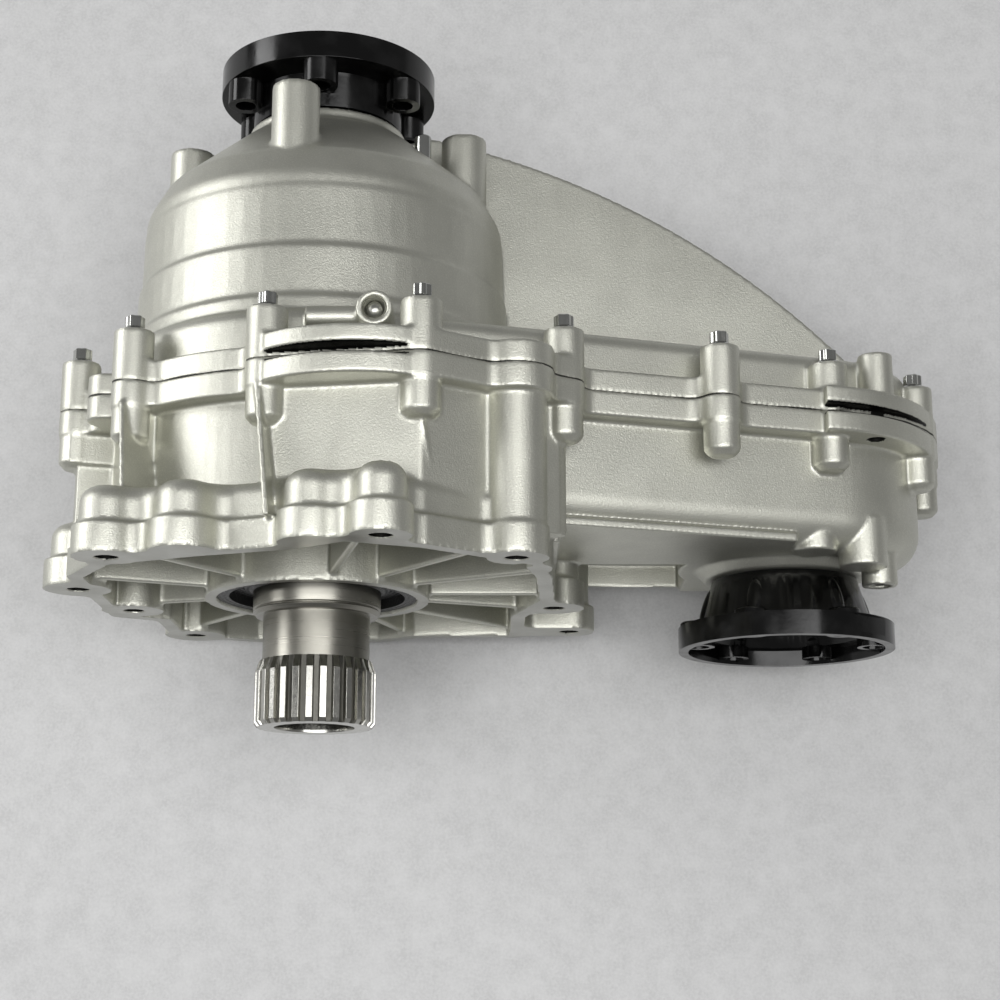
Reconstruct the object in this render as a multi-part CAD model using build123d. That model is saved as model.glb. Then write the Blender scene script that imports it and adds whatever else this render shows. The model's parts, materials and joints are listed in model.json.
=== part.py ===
from build123d import *
import math
import os

# Single-speed transfer case of an all-wheel-drive car: two cast halves, a planetary
# centre differential in the tall rear bell and a chain to the front output.
# Millimetres. It is modelled with the shafts along Z and laid down at the end, so that
# the shafts run along Y and the side with the filler plug faces up.
# The origin is where the input shaft's axis meets the mounting face.

# Shaft layout
CHAIN_PITCH = 9.525
CHAIN_LINKS = 88
CHAIN_WIDTH = 29.0
SPROCKET_TEETH = 37
SHAFT_SPACING = (CHAIN_LINKS - SPROCKET_TEETH) / 2 * CHAIN_PITCH
SHAFT_SLOPE = 9.4
SLOPE_COS = math.cos(math.radians(SHAFT_SLOPE))
SLOPE_SIN = math.sin(math.radians(SHAFT_SLOPE))
MAIN = (0.0, 0.0)
FRONT = (SHAFT_SPACING * SLOPE_COS, SHAFT_SPACING * SLOPE_SIN)

# Fits
RUNNING_GAP = 0.05
SEAT_GAP = 0.02
FACE_GAP = 0.3

# Levels along the shafts, from the mounting face rearwards
FLANGE_THICKNESS = 14.0
SKIRT_HEIGHT = 32.0
BELL_DEPTH = 40.0
BELL_FLOOR = 6.0
CASE_FRONT = 23.0
CASE_REAR = 120.0
SPLIT = 87.0
LOWER_FLANGE = 12.0
UPPER_FLANGE = 10.5
CHAIN_MIDDLE = 74.5
SHOULDER_START = 192.0
CONE_START = 207.0
CONE_END = 240.0
NECK_START = 243.0
NECK_END = 248.0

# Chain case
MAIN_RADIUS = 112.0
FRONT_RADIUS = 82.0
WALL_INSET = 8.0
FRONT_INSET = 12.0
LEDGE_THICKNESS = 4.5
LEDGE_END = 236.0
RECESS_DEPTH = 17.0
RECESS_START = 22.0
RECESS_END = 190.0
RECESS_SHELF = 8.0
RECESS_STEP = 6.0
FACE_LUMPS = [(-82.6, 57.2, 11.0, 21.0), (-56.9, 59.3, 12.0, 15.0)]
WALL = 6.5
BELL_RADIUS = 92.0
BELL_BANDS = [(101.0, 113.0), (97.5, 127.0), (95.0, 153.0), (93.0, 184.0)]
BELL_DRAFT = 0.5
BELL_STEP = 2.0
CONE_WIDE = 84.0
CONE_NARROW = 46.0
NECK_RADIUS = 41.0
CORNER_ROUND = 16.0

# Case bolts, as the angle round a shaft and the distance outside the case's radius there
MAIN_BOLTS = [(-163.0, 9.0), (-133.4, 5.0), (-96.7, 6.8), (-66.4, 28.8), (-35.5, 37.0),
              (60.0, 24.0), (92.0, 9.0), (124.0, 7.0), (158.0, 7.0)]
FRONT_BOLTS = [(-112.7, 28.3), (-79.0, -6.9), (-26.0, -9.1), (18.0, 2.0), (60.0, 4.0),
               (98.0, 6.0), (135.0, 28.0)]
CORNER_BOLTS = (2, 3, 4)
CORNER_END = 119.0
BOSS_RADIUS = 9.5
BOSS_RISE = 25.0
BLIND_BOSS = 8.8
BLIND_DEPTH = 29.0
BLIND_TAPER = 3.0
BOLT_RADIUS = 4.0
BOLT_CLEARANCE = 0.5
BOLT_HEAD = 5.0
BOLT_WASHER = 6.5
BOLT_WASHER_HEIGHT = 2.0
BOLT_HEAD_HEIGHT = 8.0
CASE_DOWELS = [(MAIN, -148.0, MAIN_RADIUS + 2.0), (FRONT, 40.0, FRONT_RADIUS)]
CASE_DOWEL_RADIUS = 6.0
CASE_DOWEL_BORE = 4.3
CASE_DOWEL_LENGTH = 16.0
WEB_THICKNESS = 3.2
GUSSETS = [(1, (-2.8, -10.5), (-77.0, -111.6), (0.33, 0.94)),
           (2, (-3.0, -9.3), (-10.2, -134.8), (0.2, 0.98)),
           (3, (-2.8, -6.0), (63.3, -123.4), (0.22, 0.98))]
GUSSET_REACH = 30.0
GUSSET_THICKNESS = 2.6
STEP_BLOCK = (17.0, 60.0)
STEP_SHARE = 0.8
COLUMN_LUG = 5
COLUMN_RADIUS = 14.0
COLUMN_BULGE = 17.5

# Mounting flange: its plan without lugs, then the lugs as x, y and radius
FLANGE_PLAN = [(-112, -62), (-112, 45), (-90, 58), (-90, 108), (-46, 127), (26, 127),
               (46, 113), (104, 111), (105, 46), (119, 0), (116, -62), (108, -98),
               (60, -134), (24, -148), (-4, -130), (-46, -116), (-92, -96)]
FLANGE_LUGS = [(-84, -106, 16), (-113, -30, 17), (-97, 28, 16.5), (-77, 105, 17),
               (41, -151, 14), (98.7, -104.6, 15), (119, 21, 15.5), (129, 93, 14)]
ARM_LENGTH = 40.0
BLANK_LUGS = [(-48, -117, 16), (10, -136, 15), (101, -80, 15)]
LUG_HOLE = 5.25
DOWEL_LUG = (101.7, -88.0)
DOWEL_HOLE = 4.0
SCALLOP_ROUND = 7.0
SKIRT_WALL = 8.0
DOME_INSET = 3.0
DOME_ROUND = 8.0
RIB_ANGLES = [-158, -126, -77, -52, -27, 0, 20, 46, 72, 100, 128, 164]
RIB_THICKNESS = 3.6
RIB_DROP = 3.0

# Input shaft, its bearing and its seal
BOSS_OUTER = 56.0
SEAL_BORE = 49.7
SEAL_DEPTH = 10.0
SEAL_JOURNAL = 31.8
JOURNAL_END = -8.4
SHAFT_NECK = 26.5
SPLINE_TEETH = 28
SPLINE_TIP = 30.0
SPLINE_ROOT = 27.6
SPLINE_START = -31.0
SHAFT_FRONT = -63.5
SHAFT_BORE = 19.8
BORE_DEPTH = 48.0
INPUT_SEAT = 30.0
INPUT_BEARING = 47.5
INPUT_BEARING_WIDTH = 18.0
CIRCLIP_WIDTH = 2.5
CIRCLIP_DEPTH = 3.0
CORE_RADIUS = 20.0
CORE_END = 168.0
PILOT_END = 186.0

# Drive sprocket sleeve and its bearing
SLEEVE_JOURNAL = 27.5
SLEEVE_RADIUS = 28.0
SLEEVE_BORE = 24.0
SLEEVE_BEARING = 45.0
SLEEVE_BEARING_WIDTH = 16.0
BUSH_LENGTH = 16.0
SPROCKET_TOOTH = 4.5
CHAIN_SEAT = 1.6
LINK_BACK = 5.0
LINK_SHARE = 0.94

# Planetary differential
GEAR_MODULE = 2.25
SUN_TEETH = 30
PLANET_TEETH = 15
RING_TEETH = SUN_TEETH + 2 * PLANET_TEETH
PLANETS = 3
PRESSURE_ANGLE = 25.0
BACKLASH = 0.3
GEAR_FRONT = 130.0
GEAR_WIDTH = 28.0
ADDENDUM = 0.9
DEDENDUM = 1.15
CARRIER_PLATE = 8.0
CARRIER_GAP = 2.0
PIN_RADIUS = 7.0
PIN_WALL = 5.0
BRIDGE_WIDTH = 14.0
DRUM_WALL = 6.0
DRUM_FRONT_OVERLAP = 4.0
DRUM_DISC = 6.0
THRUST_WASHER = 2.7

# Rear output
REAR_SHAFT = 22.5
REAR_SHAFT_COLLAR = 27.0
REAR_SHAFT_SPLINE = 21.0
REAR_BEARING = 36.0
REAR_BEARING_FRONT = 206.0
REAR_BEARING_WIDTH = 20.0
HUB_SLEEVE = 28.0
NUT_HEIGHT = 13.0
NUT_WALL = 6.0
THREAD_RADIUS = 15.0
REAR_FLANGE_RADIUS = 56.3
REAR_FLANGE_FRONT = 269.0
REAR_FLANGE_REAR = 283.0
REAR_DRUM = 39.0
REAR_DRUM_FRONT = 250.0
REAR_LUG = 9.0
REAR_LUG_HEIGHT = 12.0
REAR_HOLES = 6
REAR_HOLE_CIRCLE = 47.0
REAR_HOLE_START = 30.0
FLANGE_HOLE = 5.25
PILOT_RECESS = 33.0
PILOT_DEPTH = 20.0
PILOT_RADIUS = 12.0
PILOT_BUSH = 16.0

# Front output
FRONT_SHAFT = 19.0
FRONT_SEAT = 20.0
FRONT_COLLAR = 23.0
FRONT_SLEEVE = 24.0
FRONT_BEARING = 36.0
FRONT_BEARING_FRONT = 33.0
FRONT_BEARING_WIDTH = 18.0
FRONT_SEAL_BORE = 32.0
TAIL_SEAT = 15.0
TAIL_BEARING = 31.0
TAIL_BEARING_WIDTH = 13.0
SNOUT_END = 17.5
SNOUT_RADIUS = 41.0
SNOUT_CLEAR = 14.0
CUP_TOP = 17.0
CUP_NECK = 37.6
CUP_SHOULDER = 44.6
CUP_RIM = 55.5
CUP_RIM_REAR = -7.0
CUP_RIM_FRONT = -19.0
CUP_WALL = 5.0
CUP_PLATE = 6.0
CUP_RIM_PLATE = 4.0
CUP_HOLES = 6
CUP_HOLE_CIRCLE = 45.0
CUP_LUG = 8.0
CUP_LUG_DROP = 2.0

# Posts, ears and fittings
POST_CIRCLE = 73.0
POST_RADIUS = 11.75
POST_TOP = 243.0
POST_ANGLES = [-97, -7, 83, 173]
POST_HOLE = 4.25
POST_HOLE_DEPTH = 22.0
FIN_THICKNESS = 7.0
FIN_START = 55.0
FIN_TOP = 252.0
FIN_MIDDLE = (192.0, 205.0)
FIN_END = 300.0
NEAR_EAR = [(-96.2, 17.8), (-82.1, 32.8), (-68.6, 36.2)]
END_EAR = [(-83.5, 9.3), (-58.2, 5.9), (-31.8, 0.9)]
END_EAR_HOLE = (-62.1, -2.0)
EAR_HOLE = 4.0
EAR_DEPTH = 30.0
EAR_GAP = 2.2
END_POST = (-57.0, FRONT_RADIUS - 8.0)
END_POST_RADIUS = 8.6
END_POST_TOP = 121.0
PLUG_X = 34.5
PLUG_LEVEL = 112.5
PLUG_BOSS = 8.4
PLUG_RADIUS = 5.6
PLUG_REACH = MAIN_RADIUS + 9.0
PLUG_LENGTH = 14.0
GALLERY_START = 2.0
GALLERY_RADIUS = 5.0
VENT = (-31.6, 61.0)
VENT_RADIUS = 4.2
VENT_TOP = 236.0
VENT_DEPTH = 12.0
DRAIN = (-36.0, 54.0)
DRAIN_LUG = 9.0
DRAIN_END = 9.0
DRAIN_RADIUS = 5.0
DRAIN_LENGTH = 14.0
MAGNET = (40.0, 84.0)
MAGNET_RADIUS = 9.0
MAGNET_HEIGHT = 4.0

# Bearings
ROLLERS = 10
ROLLER_SHARE = 0.42


def polar(angle, radius, centre=MAIN):
    """Point at an angle in degrees and a radius round a shaft."""
    turn = math.radians(angle)
    return (centre[0] + radius * math.cos(turn), centre[1] + radius * math.sin(turn))


def rod(radius, low, high, centre=MAIN):
    """Round bar between two levels."""
    return Pos(centre[0], centre[1], low) * extrude(Circle(radius), high - low)


def tube(outer, inner, low, high, centre=MAIN):
    """Round tube between two levels."""
    return Pos(centre[0], centre[1], low) * extrude(Circle(outer) - Circle(inner), high - low)


def cone(low_radius, high_radius, low, high, centre=MAIN):
    """Round taper between two levels."""
    taper = Cone(low_radius, high_radius, high - low, align=(Align.CENTER, Align.CENTER, Align.MIN))
    return Pos(centre[0], centre[1], low) * taper


def turned(points, radii=0.0, centre=MAIN):
    """Solid of revolution from (radius, level) points with rounded corners."""
    outline = FilletPolyline(*points, radius=radii, close=True)
    profile = Plane.XZ * make_face(outline)
    return Pos(centre[0], centre[1], 0) * revolve(profile, Axis.Z)


def slab(plan, low, high):
    """Plan extruded between two levels."""
    return Pos(0, 0, low) * extrude(plan, high - low, dir=(0, 0, 1))


def case_bolt_places():
    """Places of all case bolts in the plan."""
    places = [polar(angle, MAIN_RADIUS + rise) for angle, rise in MAIN_BOLTS]
    places += [polar(angle, FRONT_RADIUS + rise, FRONT) for angle, rise in FRONT_BOLTS]
    return places


def case_dowel_places():
    """Places of the two hollow dowels that line the halves up."""
    return [polar(angle, radius, centre) for centre, angle, radius in CASE_DOWELS]


def belt(main_radius, front_radius):
    """Plan of two circles round the shafts with the two lines that touch both."""
    lean = math.degrees(math.asin((main_radius - front_radius) / SHAFT_SPACING))
    near = SHAFT_SLOPE - 90 + lean
    far = SHAFT_SLOPE + 90 - lean
    outline = [
        Line(polar(near, main_radius), polar(near, front_radius, FRONT)),
        ThreePointArc(polar(near, front_radius, FRONT), polar(SHAFT_SLOPE, front_radius, FRONT),
                      polar(far, front_radius, FRONT)),
        Line(polar(far, front_radius, FRONT), polar(far, main_radius)),
        ThreePointArc(polar(far, main_radius), polar(SHAFT_SLOPE + 180, main_radius),
                      polar(near, main_radius)),
    ]
    return make_face(outline)


def case_plan(inset=0.0):
    """Plan of the chain case: the belt, with the corner that reaches out to three bolts."""
    places = case_bolt_places()
    corner = [places[index] for index in CORNER_BOLTS]
    reach = BOSS_RADIUS - inset
    shoulder = Polygon(MAIN, *corner, align=None)
    plan = belt(MAIN_RADIUS - inset, FRONT_RADIUS - inset)
    if reach > 0:
        return plan + offset(shoulder, reach)
    return plan + offset(shoulder, reach, kind=Kind.INTERSECTION)


def corner_block():
    """Space on the main shaft's side of the case, where the corner reaches the skirt."""
    reach = MAIN_RADIUS + SHAFT_SPACING
    block = Box(reach, 2 * reach, SPLIT, align=(Align.MAX, Align.CENTER, Align.MIN))
    return Pos(CORNER_END, 0, 0) * block


def split_plan():
    """Plan of the split flange: the case plan with a rounded boss at each bolt."""
    plan = case_plan()
    for place in case_bolt_places() + case_dowel_places():
        plan += Pos(*place) * Circle(BOSS_RADIUS)
    plan += Pos(*column_place()) * Circle(COLUMN_BULGE)
    return offset(offset(plan, SCALLOP_ROUND), -SCALLOP_ROUND)


def mounting_plan():
    """Scalloped plan of the mounting flange."""
    plan = make_face(FilletPolyline(*FLANGE_PLAN, radius=SCALLOP_ROUND, close=True))
    for x, y, radius in FLANGE_LUGS + BLANK_LUGS:
        plan += Pos(x, y) * Circle(radius)
    arm_x, arm_y, arm_radius = FLANGE_LUGS[-1]
    plan += Pos(arm_x, arm_y) * Rectangle(ARM_LENGTH, 2 * arm_radius, align=(Align.MAX, Align.CENTER))
    return offset(offset(plan, SCALLOP_ROUND), -SCALLOP_ROUND)


def bell_cavity_plan():
    """Plan of the open bell behind the mounting flange, round its bolt lugs."""
    plan = offset(Polygon(*FLANGE_PLAN, align=None), -SKIRT_WALL, kind=Kind.INTERSECTION)
    for x, y, radius in FLANGE_LUGS:
        plan -= Pos(x, y) * Circle(radius - 1)
    return plan - Circle(BOSS_OUTER)


def radial_wall(angle, start, stop, thickness, low, high, centre=MAIN):
    """Flat wall standing along a radius of a shaft."""
    length = stop - start
    wall = Box(length, thickness, high - low, align=(Align.MIN, Align.CENTER, Align.MIN))
    return Pos(centre[0], centre[1], low) * Rot(0, 0, angle) * Pos(start, 0, 0) * wall


def ear_plan(corners, reach, centre):
    """Plan of an ear on the split flange whose edge runs through three points."""
    start, middle, end = [polar(angle, reach + rise, centre) for angle, rise in corners]
    outline = [ThreePointArc(start, middle, end), Line(end, (end[0], end[1] + EAR_DEPTH)),
               Line((end[0], end[1] + EAR_DEPTH), (start[0], start[1] + EAR_DEPTH)),
               Line((start[0], start[1] + EAR_DEPTH), start)]
    return make_face(outline)


def ears(low, high):
    """The pry ear on the near side and the ear at the end of the chain case."""
    near = ear_plan(NEAR_EAR, MAIN_RADIUS, MAIN)
    end = ear_plan(END_EAR, FRONT_RADIUS, FRONT)
    return slab(near, low, high) + slab(end, low, high)


def column_place():
    """Place of the column that stands on a lug of the mounting flange."""
    return FLANGE_LUGS[COLUMN_LUG][:2]


def gusset(bolt, rise, bottom, inward):
    """Thin slanted gusset between a bolt's boss and the mounting flange."""
    x, y = case_bolt_places()[bolt]
    top = (x + rise[0], y + rise[1])
    reach = (inward[0] * GUSSET_REACH, inward[1] * GUSSET_REACH, 0)
    upper = Vector(*top, SPLIT - LOWER_FLANGE + 1)
    lower = Vector(*bottom, FLANGE_THICKNESS - 1)
    outline = Polyline(upper, lower, lower + reach, upper + reach, close=True)
    return extrude(make_face(outline), GUSSET_THICKNESS / 2, both=True)


def blind_boss(place):
    """Tapered blind boss under the split flange."""
    end = SPLIT - BLIND_DEPTH
    tip = cone(BLIND_BOSS - BLIND_TAPER, BLIND_BOSS, end, end + BLIND_TAPER, place)
    return rod(BLIND_BOSS, end + BLIND_TAPER, SPLIT, place) + tip


def blind_bosses():
    """Blind bosses under the split flange with the webs that stiffen them."""
    bosses = [blind_boss(place) for place in case_bolt_places()]
    inner = MAIN_RADIUS - WALL_INSET - WALL
    for angle, rise in MAIN_BOLTS:
        bosses.append(radial_wall(angle, inner, MAIN_RADIUS + rise, WEB_THICKNESS,
                                  FLANGE_THICKNESS, SPLIT - LOWER_FLANGE))
    bosses += [gusset(*corners) for corners in GUSSETS]
    width, low = STEP_BLOCK
    angle, rise = MAIN_BOLTS[0]
    outer = MAIN_RADIUS + rise
    bosses.append(radial_wall(angle, inner, outer + BLIND_BOSS / 2, width, low,
                              SPLIT - LOWER_FLANGE))
    bosses.append(radial_wall(angle, inner, outer, width * STEP_SHARE, FLANGE_THICKNESS, low))
    bosses.append(rod(COLUMN_RADIUS, FLANGE_THICKNESS, SPLIT - LOWER_FLANGE, column_place()))
    return bosses


def face_ledge():
    """Thin rim along the near edge of the chain case's front face."""
    strip = Pos(MAIN_RADIUS, 0) * Rectangle(LEDGE_END - MAIN_RADIUS, 2 * MAIN_RADIUS,
                                            align=(Align.MIN, Align.MAX))
    return slab(belt(*wall_radii()) & strip, CASE_FRONT, CASE_FRONT + LEDGE_THICKNESS)


def face_recess():
    """Shallow room in the chain case's front face, beside the mounting flange."""
    plan = belt(*[radius - WALL for radius in wall_radii()])
    plan &= Pos(MAIN_RADIUS, RECESS_START) * Rectangle(RECESS_END - MAIN_RADIUS, MAIN_RADIUS,
                                                       align=(Align.MIN, Align.MIN))
    plan -= Pos(*FRONT) * Circle(SNOUT_RADIUS + SNOUT_CLEAR)
    rib = Pos(MAIN_RADIUS, RECESS_START + RECESS_SHELF) * Rectangle(RECESS_END, WEB_THICKNESS,
                                                                    align=(Align.MIN, Align.MIN))
    for x, y, radius in FLANGE_LUGS:
        plan -= Pos(x, y) * Circle(radius - DOME_INSET)
    floor = CASE_FRONT + RECESS_DEPTH
    return [slab(plan - rib, 0, floor), slab(plan, 0, CASE_FRONT + RECESS_STEP)]


def front_housing():
    """Front half of the case, from the mounting face to the split."""
    chamber = slab(belt(*wall_radii()), CASE_FRONT, SPLIT)
    chamber = fillet(chamber.edges().group_by(Axis.Z)[0], CORNER_ROUND)
    corner = slab(case_plan(WALL_INSET), FLANGE_THICKNESS, SPLIT) & corner_block()
    flange = slab(mounting_plan(), 0, FLANGE_THICKNESS)
    dome = slab(offset(mounting_plan(), -DOME_INSET), FLANGE_THICKNESS, SKIRT_HEIGHT)
    dome = fillet(dome.edges().group_by(Axis.Z)[-1], DOME_ROUND)
    split_flange = slab(split_plan(), SPLIT - LOWER_FLANGE, SPLIT)
    snout = cone(SNOUT_RADIUS, SNOUT_RADIUS + 12, SNOUT_END, CASE_FRONT + 8, FRONT)
    drain_lug = rod(DRAIN_LUG, DRAIN_END, CASE_FRONT + CORNER_ROUND, drain_place())
    body = chamber + [corner, split_flange, snout, drain_lug, face_ledge()]
    body -= face_recess()
    body += [flange, dome]
    body += [rod(radius, low, CASE_FRONT + CORNER_ROUND, polar(angle, reach, FRONT))
             for angle, reach, radius, low in FACE_LUMPS]
    body += blind_bosses()
    body += ears(SPLIT - LOWER_FLANGE, SPLIT - EAR_GAP)
    return body - front_hollows()


def bell_hollows():
    """Pockets of the open bell, one between each pair of ribs."""
    plan = bell_cavity_plan()
    for angle in RIB_ANGLES:
        rib = Pos(BOSS_OUTER - 1, 0) * Rectangle(MAIN_RADIUS, RIB_THICKNESS,
                                                 align=(Align.MIN, Align.CENTER))
        plan -= Rot(0, 0, angle) * rib
    deep = plan & Circle(chamber_radii()[0])
    pockets = [slab(face, 0, SKIRT_HEIGHT - WALL) for face in plan.faces()]
    pockets += [slab(face, 0, BELL_DEPTH) for face in deep.faces()]
    pockets.append(slab(bell_cavity_plan(), 0, RIB_DROP))
    return pockets


def front_hollows():
    """Everything cut out of the front half: bell, chain chamber, bores and bolt holes."""
    cuts = bell_hollows()
    chamber = slab(belt(*chamber_radii()), BELL_DEPTH + BELL_FLOOR, SPLIT)
    sleeve_boss = rod(SLEEVE_BEARING + WALL, BELL_DEPTH, sleeve_bearing_rear())
    front_boss = rod(FRONT_BEARING + WALL, BELL_DEPTH, front_bearing_rear() + CIRCLIP_WIDTH * 2,
                     FRONT)
    cuts.append(chamber - [sleeve_boss, front_boss])
    cuts.append(turned(input_bore_profile()))
    cuts.append(turned(front_bore_profile(), centre=FRONT))
    cuts.append(rod(DRAIN_RADIUS + SEAT_GAP, DRAIN_END, BELL_DEPTH + BELL_FLOOR, drain_place()))
    for place in case_bolt_places():
        cuts.append(rod(BOLT_RADIUS + SEAT_GAP, SPLIT - BLIND_DEPTH + WEB_THICKNESS, SPLIT, place))
    for place in case_dowel_places():
        cuts.append(rod(CASE_DOWEL_RADIUS + SEAT_GAP, SPLIT - CASE_DOWEL_LENGTH / 2, SPLIT, place))
    for x, y, radius in FLANGE_LUGS:
        cuts.append(rod(LUG_HOLE, 0, SKIRT_HEIGHT, (x, y)))
    cuts.append(rod(DOWEL_HOLE, 0, FLANGE_THICKNESS, DOWEL_LUG))
    angle, rise = END_EAR_HOLE
    cuts.append(rod(EAR_HOLE, SPLIT - LOWER_FLANGE, SPLIT - EAR_GAP,
                    polar(angle, FRONT_RADIUS + rise, FRONT)))
    return cuts


def wall_radii():
    """Outer radii of the chain chamber's wall round the two shafts."""
    return MAIN_RADIUS - WALL_INSET, FRONT_RADIUS - FRONT_INSET


def chamber_radii():
    """Inner radii of the chain chamber's wall round the two shafts."""
    main_wall, front_wall = wall_radii()
    return main_wall - WALL, front_wall - WALL


def drain_place():
    """Place of the drain plug in the plan."""
    return polar(*DRAIN, FRONT)


def sleeve_bearing_rear():
    """Level of the rear face of the drive sprocket's bearing."""
    return CHAIN_MIDDLE - CHAIN_WIDTH / 2 - CIRCLIP_WIDTH


def sleeve_bearing_front():
    """Level of the front face of the drive sprocket's bearing."""
    return sleeve_bearing_rear() - SLEEVE_BEARING_WIDTH


def input_bearing_front():
    """Level of the front face of the input bearing, behind its seal and snap ring."""
    return SEAL_DEPTH + CIRCLIP_WIDTH


def front_bearing_rear():
    """Level of the rear face of the front output's bearing."""
    return FRONT_BEARING_FRONT + FRONT_BEARING_WIDTH


def rear_bearing_rear():
    """Level of the rear face of the rear output's bearing."""
    return REAR_BEARING_FRONT + REAR_BEARING_WIDTH


def input_bore_profile():
    """Bores of the central boss: seal, snap ring, input bearing and sprocket bearing."""
    front = input_bearing_front()
    rear = front + INPUT_BEARING_WIDTH
    groove = INPUT_BEARING + CIRCLIP_DEPTH
    shoulder = SLEEVE_BEARING - CIRCLIP_DEPTH
    return [(0, -1), (SEAL_BORE, -1), (SEAL_BORE, SEAL_DEPTH), (groove, SEAL_DEPTH),
            (groove, front), (INPUT_BEARING, front), (INPUT_BEARING, rear), (shoulder, rear),
            (shoulder, sleeve_bearing_front()), (SLEEVE_BEARING, sleeve_bearing_front()),
            (SLEEVE_BEARING, SPLIT), (0, SPLIT)]


def front_bore_profile():
    """Bores of the front output: seal, shoulder, bearing and snap ring groove."""
    rear = front_bearing_rear()
    shoulder = FRONT_SEAL_BORE - CIRCLIP_DEPTH
    groove = FRONT_BEARING + CIRCLIP_DEPTH
    return [(0, 0), (FRONT_SEAL_BORE, 0), (FRONT_SEAL_BORE, SNOUT_END + SEAL_DEPTH),
            (shoulder, SNOUT_END + SEAL_DEPTH), (shoulder, FRONT_BEARING_FRONT),
            (FRONT_BEARING, FRONT_BEARING_FRONT), (FRONT_BEARING, rear), (groove, rear),
            (groove, rear + CIRCLIP_WIDTH), (FRONT_BEARING, rear + CIRCLIP_WIDTH),
            (FRONT_BEARING, SPLIT), (0, SPLIT)]


def gusset_fin():
    """Tall flat wall between the bell and the end of the chain cover."""
    base = CASE_REAR - WALL
    outline = [
        Line((0, base), (0, NECK_START - WALL)),
        Line((0, NECK_START - WALL), (FIN_START, FIN_TOP)),
        ThreePointArc((FIN_START, FIN_TOP), FIN_MIDDLE, (FIN_END, CASE_REAR)),
        Line((FIN_END, CASE_REAR), (FIN_END, base)),
        Line((FIN_END, base), (0, base)),
    ]
    wall = extrude(Plane.XZ * make_face(outline), FIN_THICKNESS / 2, both=True)
    return Rot(0, 0, SHAFT_SLOPE) * wall


def bell_profile():
    """Outline of the bell and neck as radius and level, with its corner radii."""
    points = [(0, SPLIT)]
    level = SPLIT
    for radius, top in BELL_BANDS:
        points += [(radius, level), (radius - BELL_DRAFT, top)]
        level = top + BELL_STEP
    points += [(BELL_RADIUS, level), (BELL_RADIUS, SHOULDER_START), (CONE_WIDE, CONE_START),
               (CONE_NARROW, CONE_END), (NECK_RADIUS, NECK_START), (NECK_RADIUS, NECK_END),
               (0, NECK_END)]
    radii = [0] * (len(points) - 6) + [14, 12, 4, 0, 0, 0]
    return points, radii


def bell_hollow():
    """Room inside the bell, up to the boss of the rear bearing."""
    inner = BELL_RADIUS - WALL
    ceiling = REAR_BEARING_FRONT - WALL
    points = [(0, SPLIT), (inner, SPLIT), (inner, SHOULDER_START - WALL / 2),
              (CONE_WIDE - WALL, ceiling), (0, ceiling)]
    return turned(points)


def rear_bore():
    """Bore of the neck: shoulder, bearing, snap ring groove and seal."""
    rear = rear_bearing_rear()
    groove = REAR_BEARING + CIRCLIP_DEPTH / 2
    shoulder = REAR_BEARING - CIRCLIP_DEPTH
    points = [(0, SPLIT), (shoulder, SPLIT), (shoulder, REAR_BEARING_FRONT),
              (REAR_BEARING, REAR_BEARING_FRONT), (REAR_BEARING, rear), (groove, rear),
              (groove, rear + CIRCLIP_WIDTH), (REAR_BEARING, rear + CIRCLIP_WIDTH),
              (REAR_BEARING, NECK_END + 1), (0, NECK_END + 1)]
    return turned(points)


def mount_posts():
    """The threaded posts that stand round the cone of the bell."""
    root = SHOULDER_START - POST_RADIUS
    return [rod(POST_RADIUS, root, POST_TOP, polar(angle, POST_CIRCLE)) for angle in POST_ANGLES]


def along_near(radius, low, high, x, level):
    """Round bar that points at the near side, between two distances from the shafts."""
    return Pos(x, 0, level) * Rot(90, 0, 0) * rod(radius, low, high)


def end_post():
    """Post on the ear at the end of the chain case, with the web that ties it to the cover."""
    post = rod(END_POST_RADIUS, SPLIT + EAR_GAP, END_POST_TOP, polar(*END_POST, FRONT))
    web = radial_wall(END_POST[0], FRONT_RADIUS / 2, END_POST[1], WEB_THICKNESS * 2,
                      SPLIT + UPPER_FLANGE, END_POST_TOP - WALL, FRONT)
    return [post, web]


def rear_housing():
    """Rear half of the case, from the split to the neck of the rear output."""
    cover = slab(belt(*wall_radii()), SPLIT, CASE_REAR)
    cover = fillet(cover.edges().group_by(Axis.Z)[-1], WALL_INSET)
    corner = slab(case_plan(WALL_INSET), SPLIT, CASE_REAR) & corner_block()
    flange = slab(split_plan(), SPLIT, SPLIT + UPPER_FLANGE)
    points, radii = bell_profile()
    body = cover + [corner, flange, turned(points, radii), gusset_fin()]
    body += mount_posts()
    body += [rod(BOSS_RADIUS, SPLIT, SPLIT + BOSS_RISE, place) for place in case_bolt_places()]
    body += ears(SPLIT + EAR_GAP, SPLIT + UPPER_FLANGE)
    body += along_near(PLUG_BOSS, MAIN_RADIUS - WALL_INSET - WALL, PLUG_REACH, PLUG_X, PLUG_LEVEL)
    body += end_post()
    body += gallery()
    return body - rear_hollows()


def gallery():
    """Oil gallery that runs along the cover to the filler plug's boss."""
    pipe = extrude(Plane.YZ * Circle(GALLERY_RADIUS), PLUG_X - GALLERY_START)
    return Pos(GALLERY_START, GALLERY_RADIUS - MAIN_RADIUS, PLUG_LEVEL) * pipe


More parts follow.
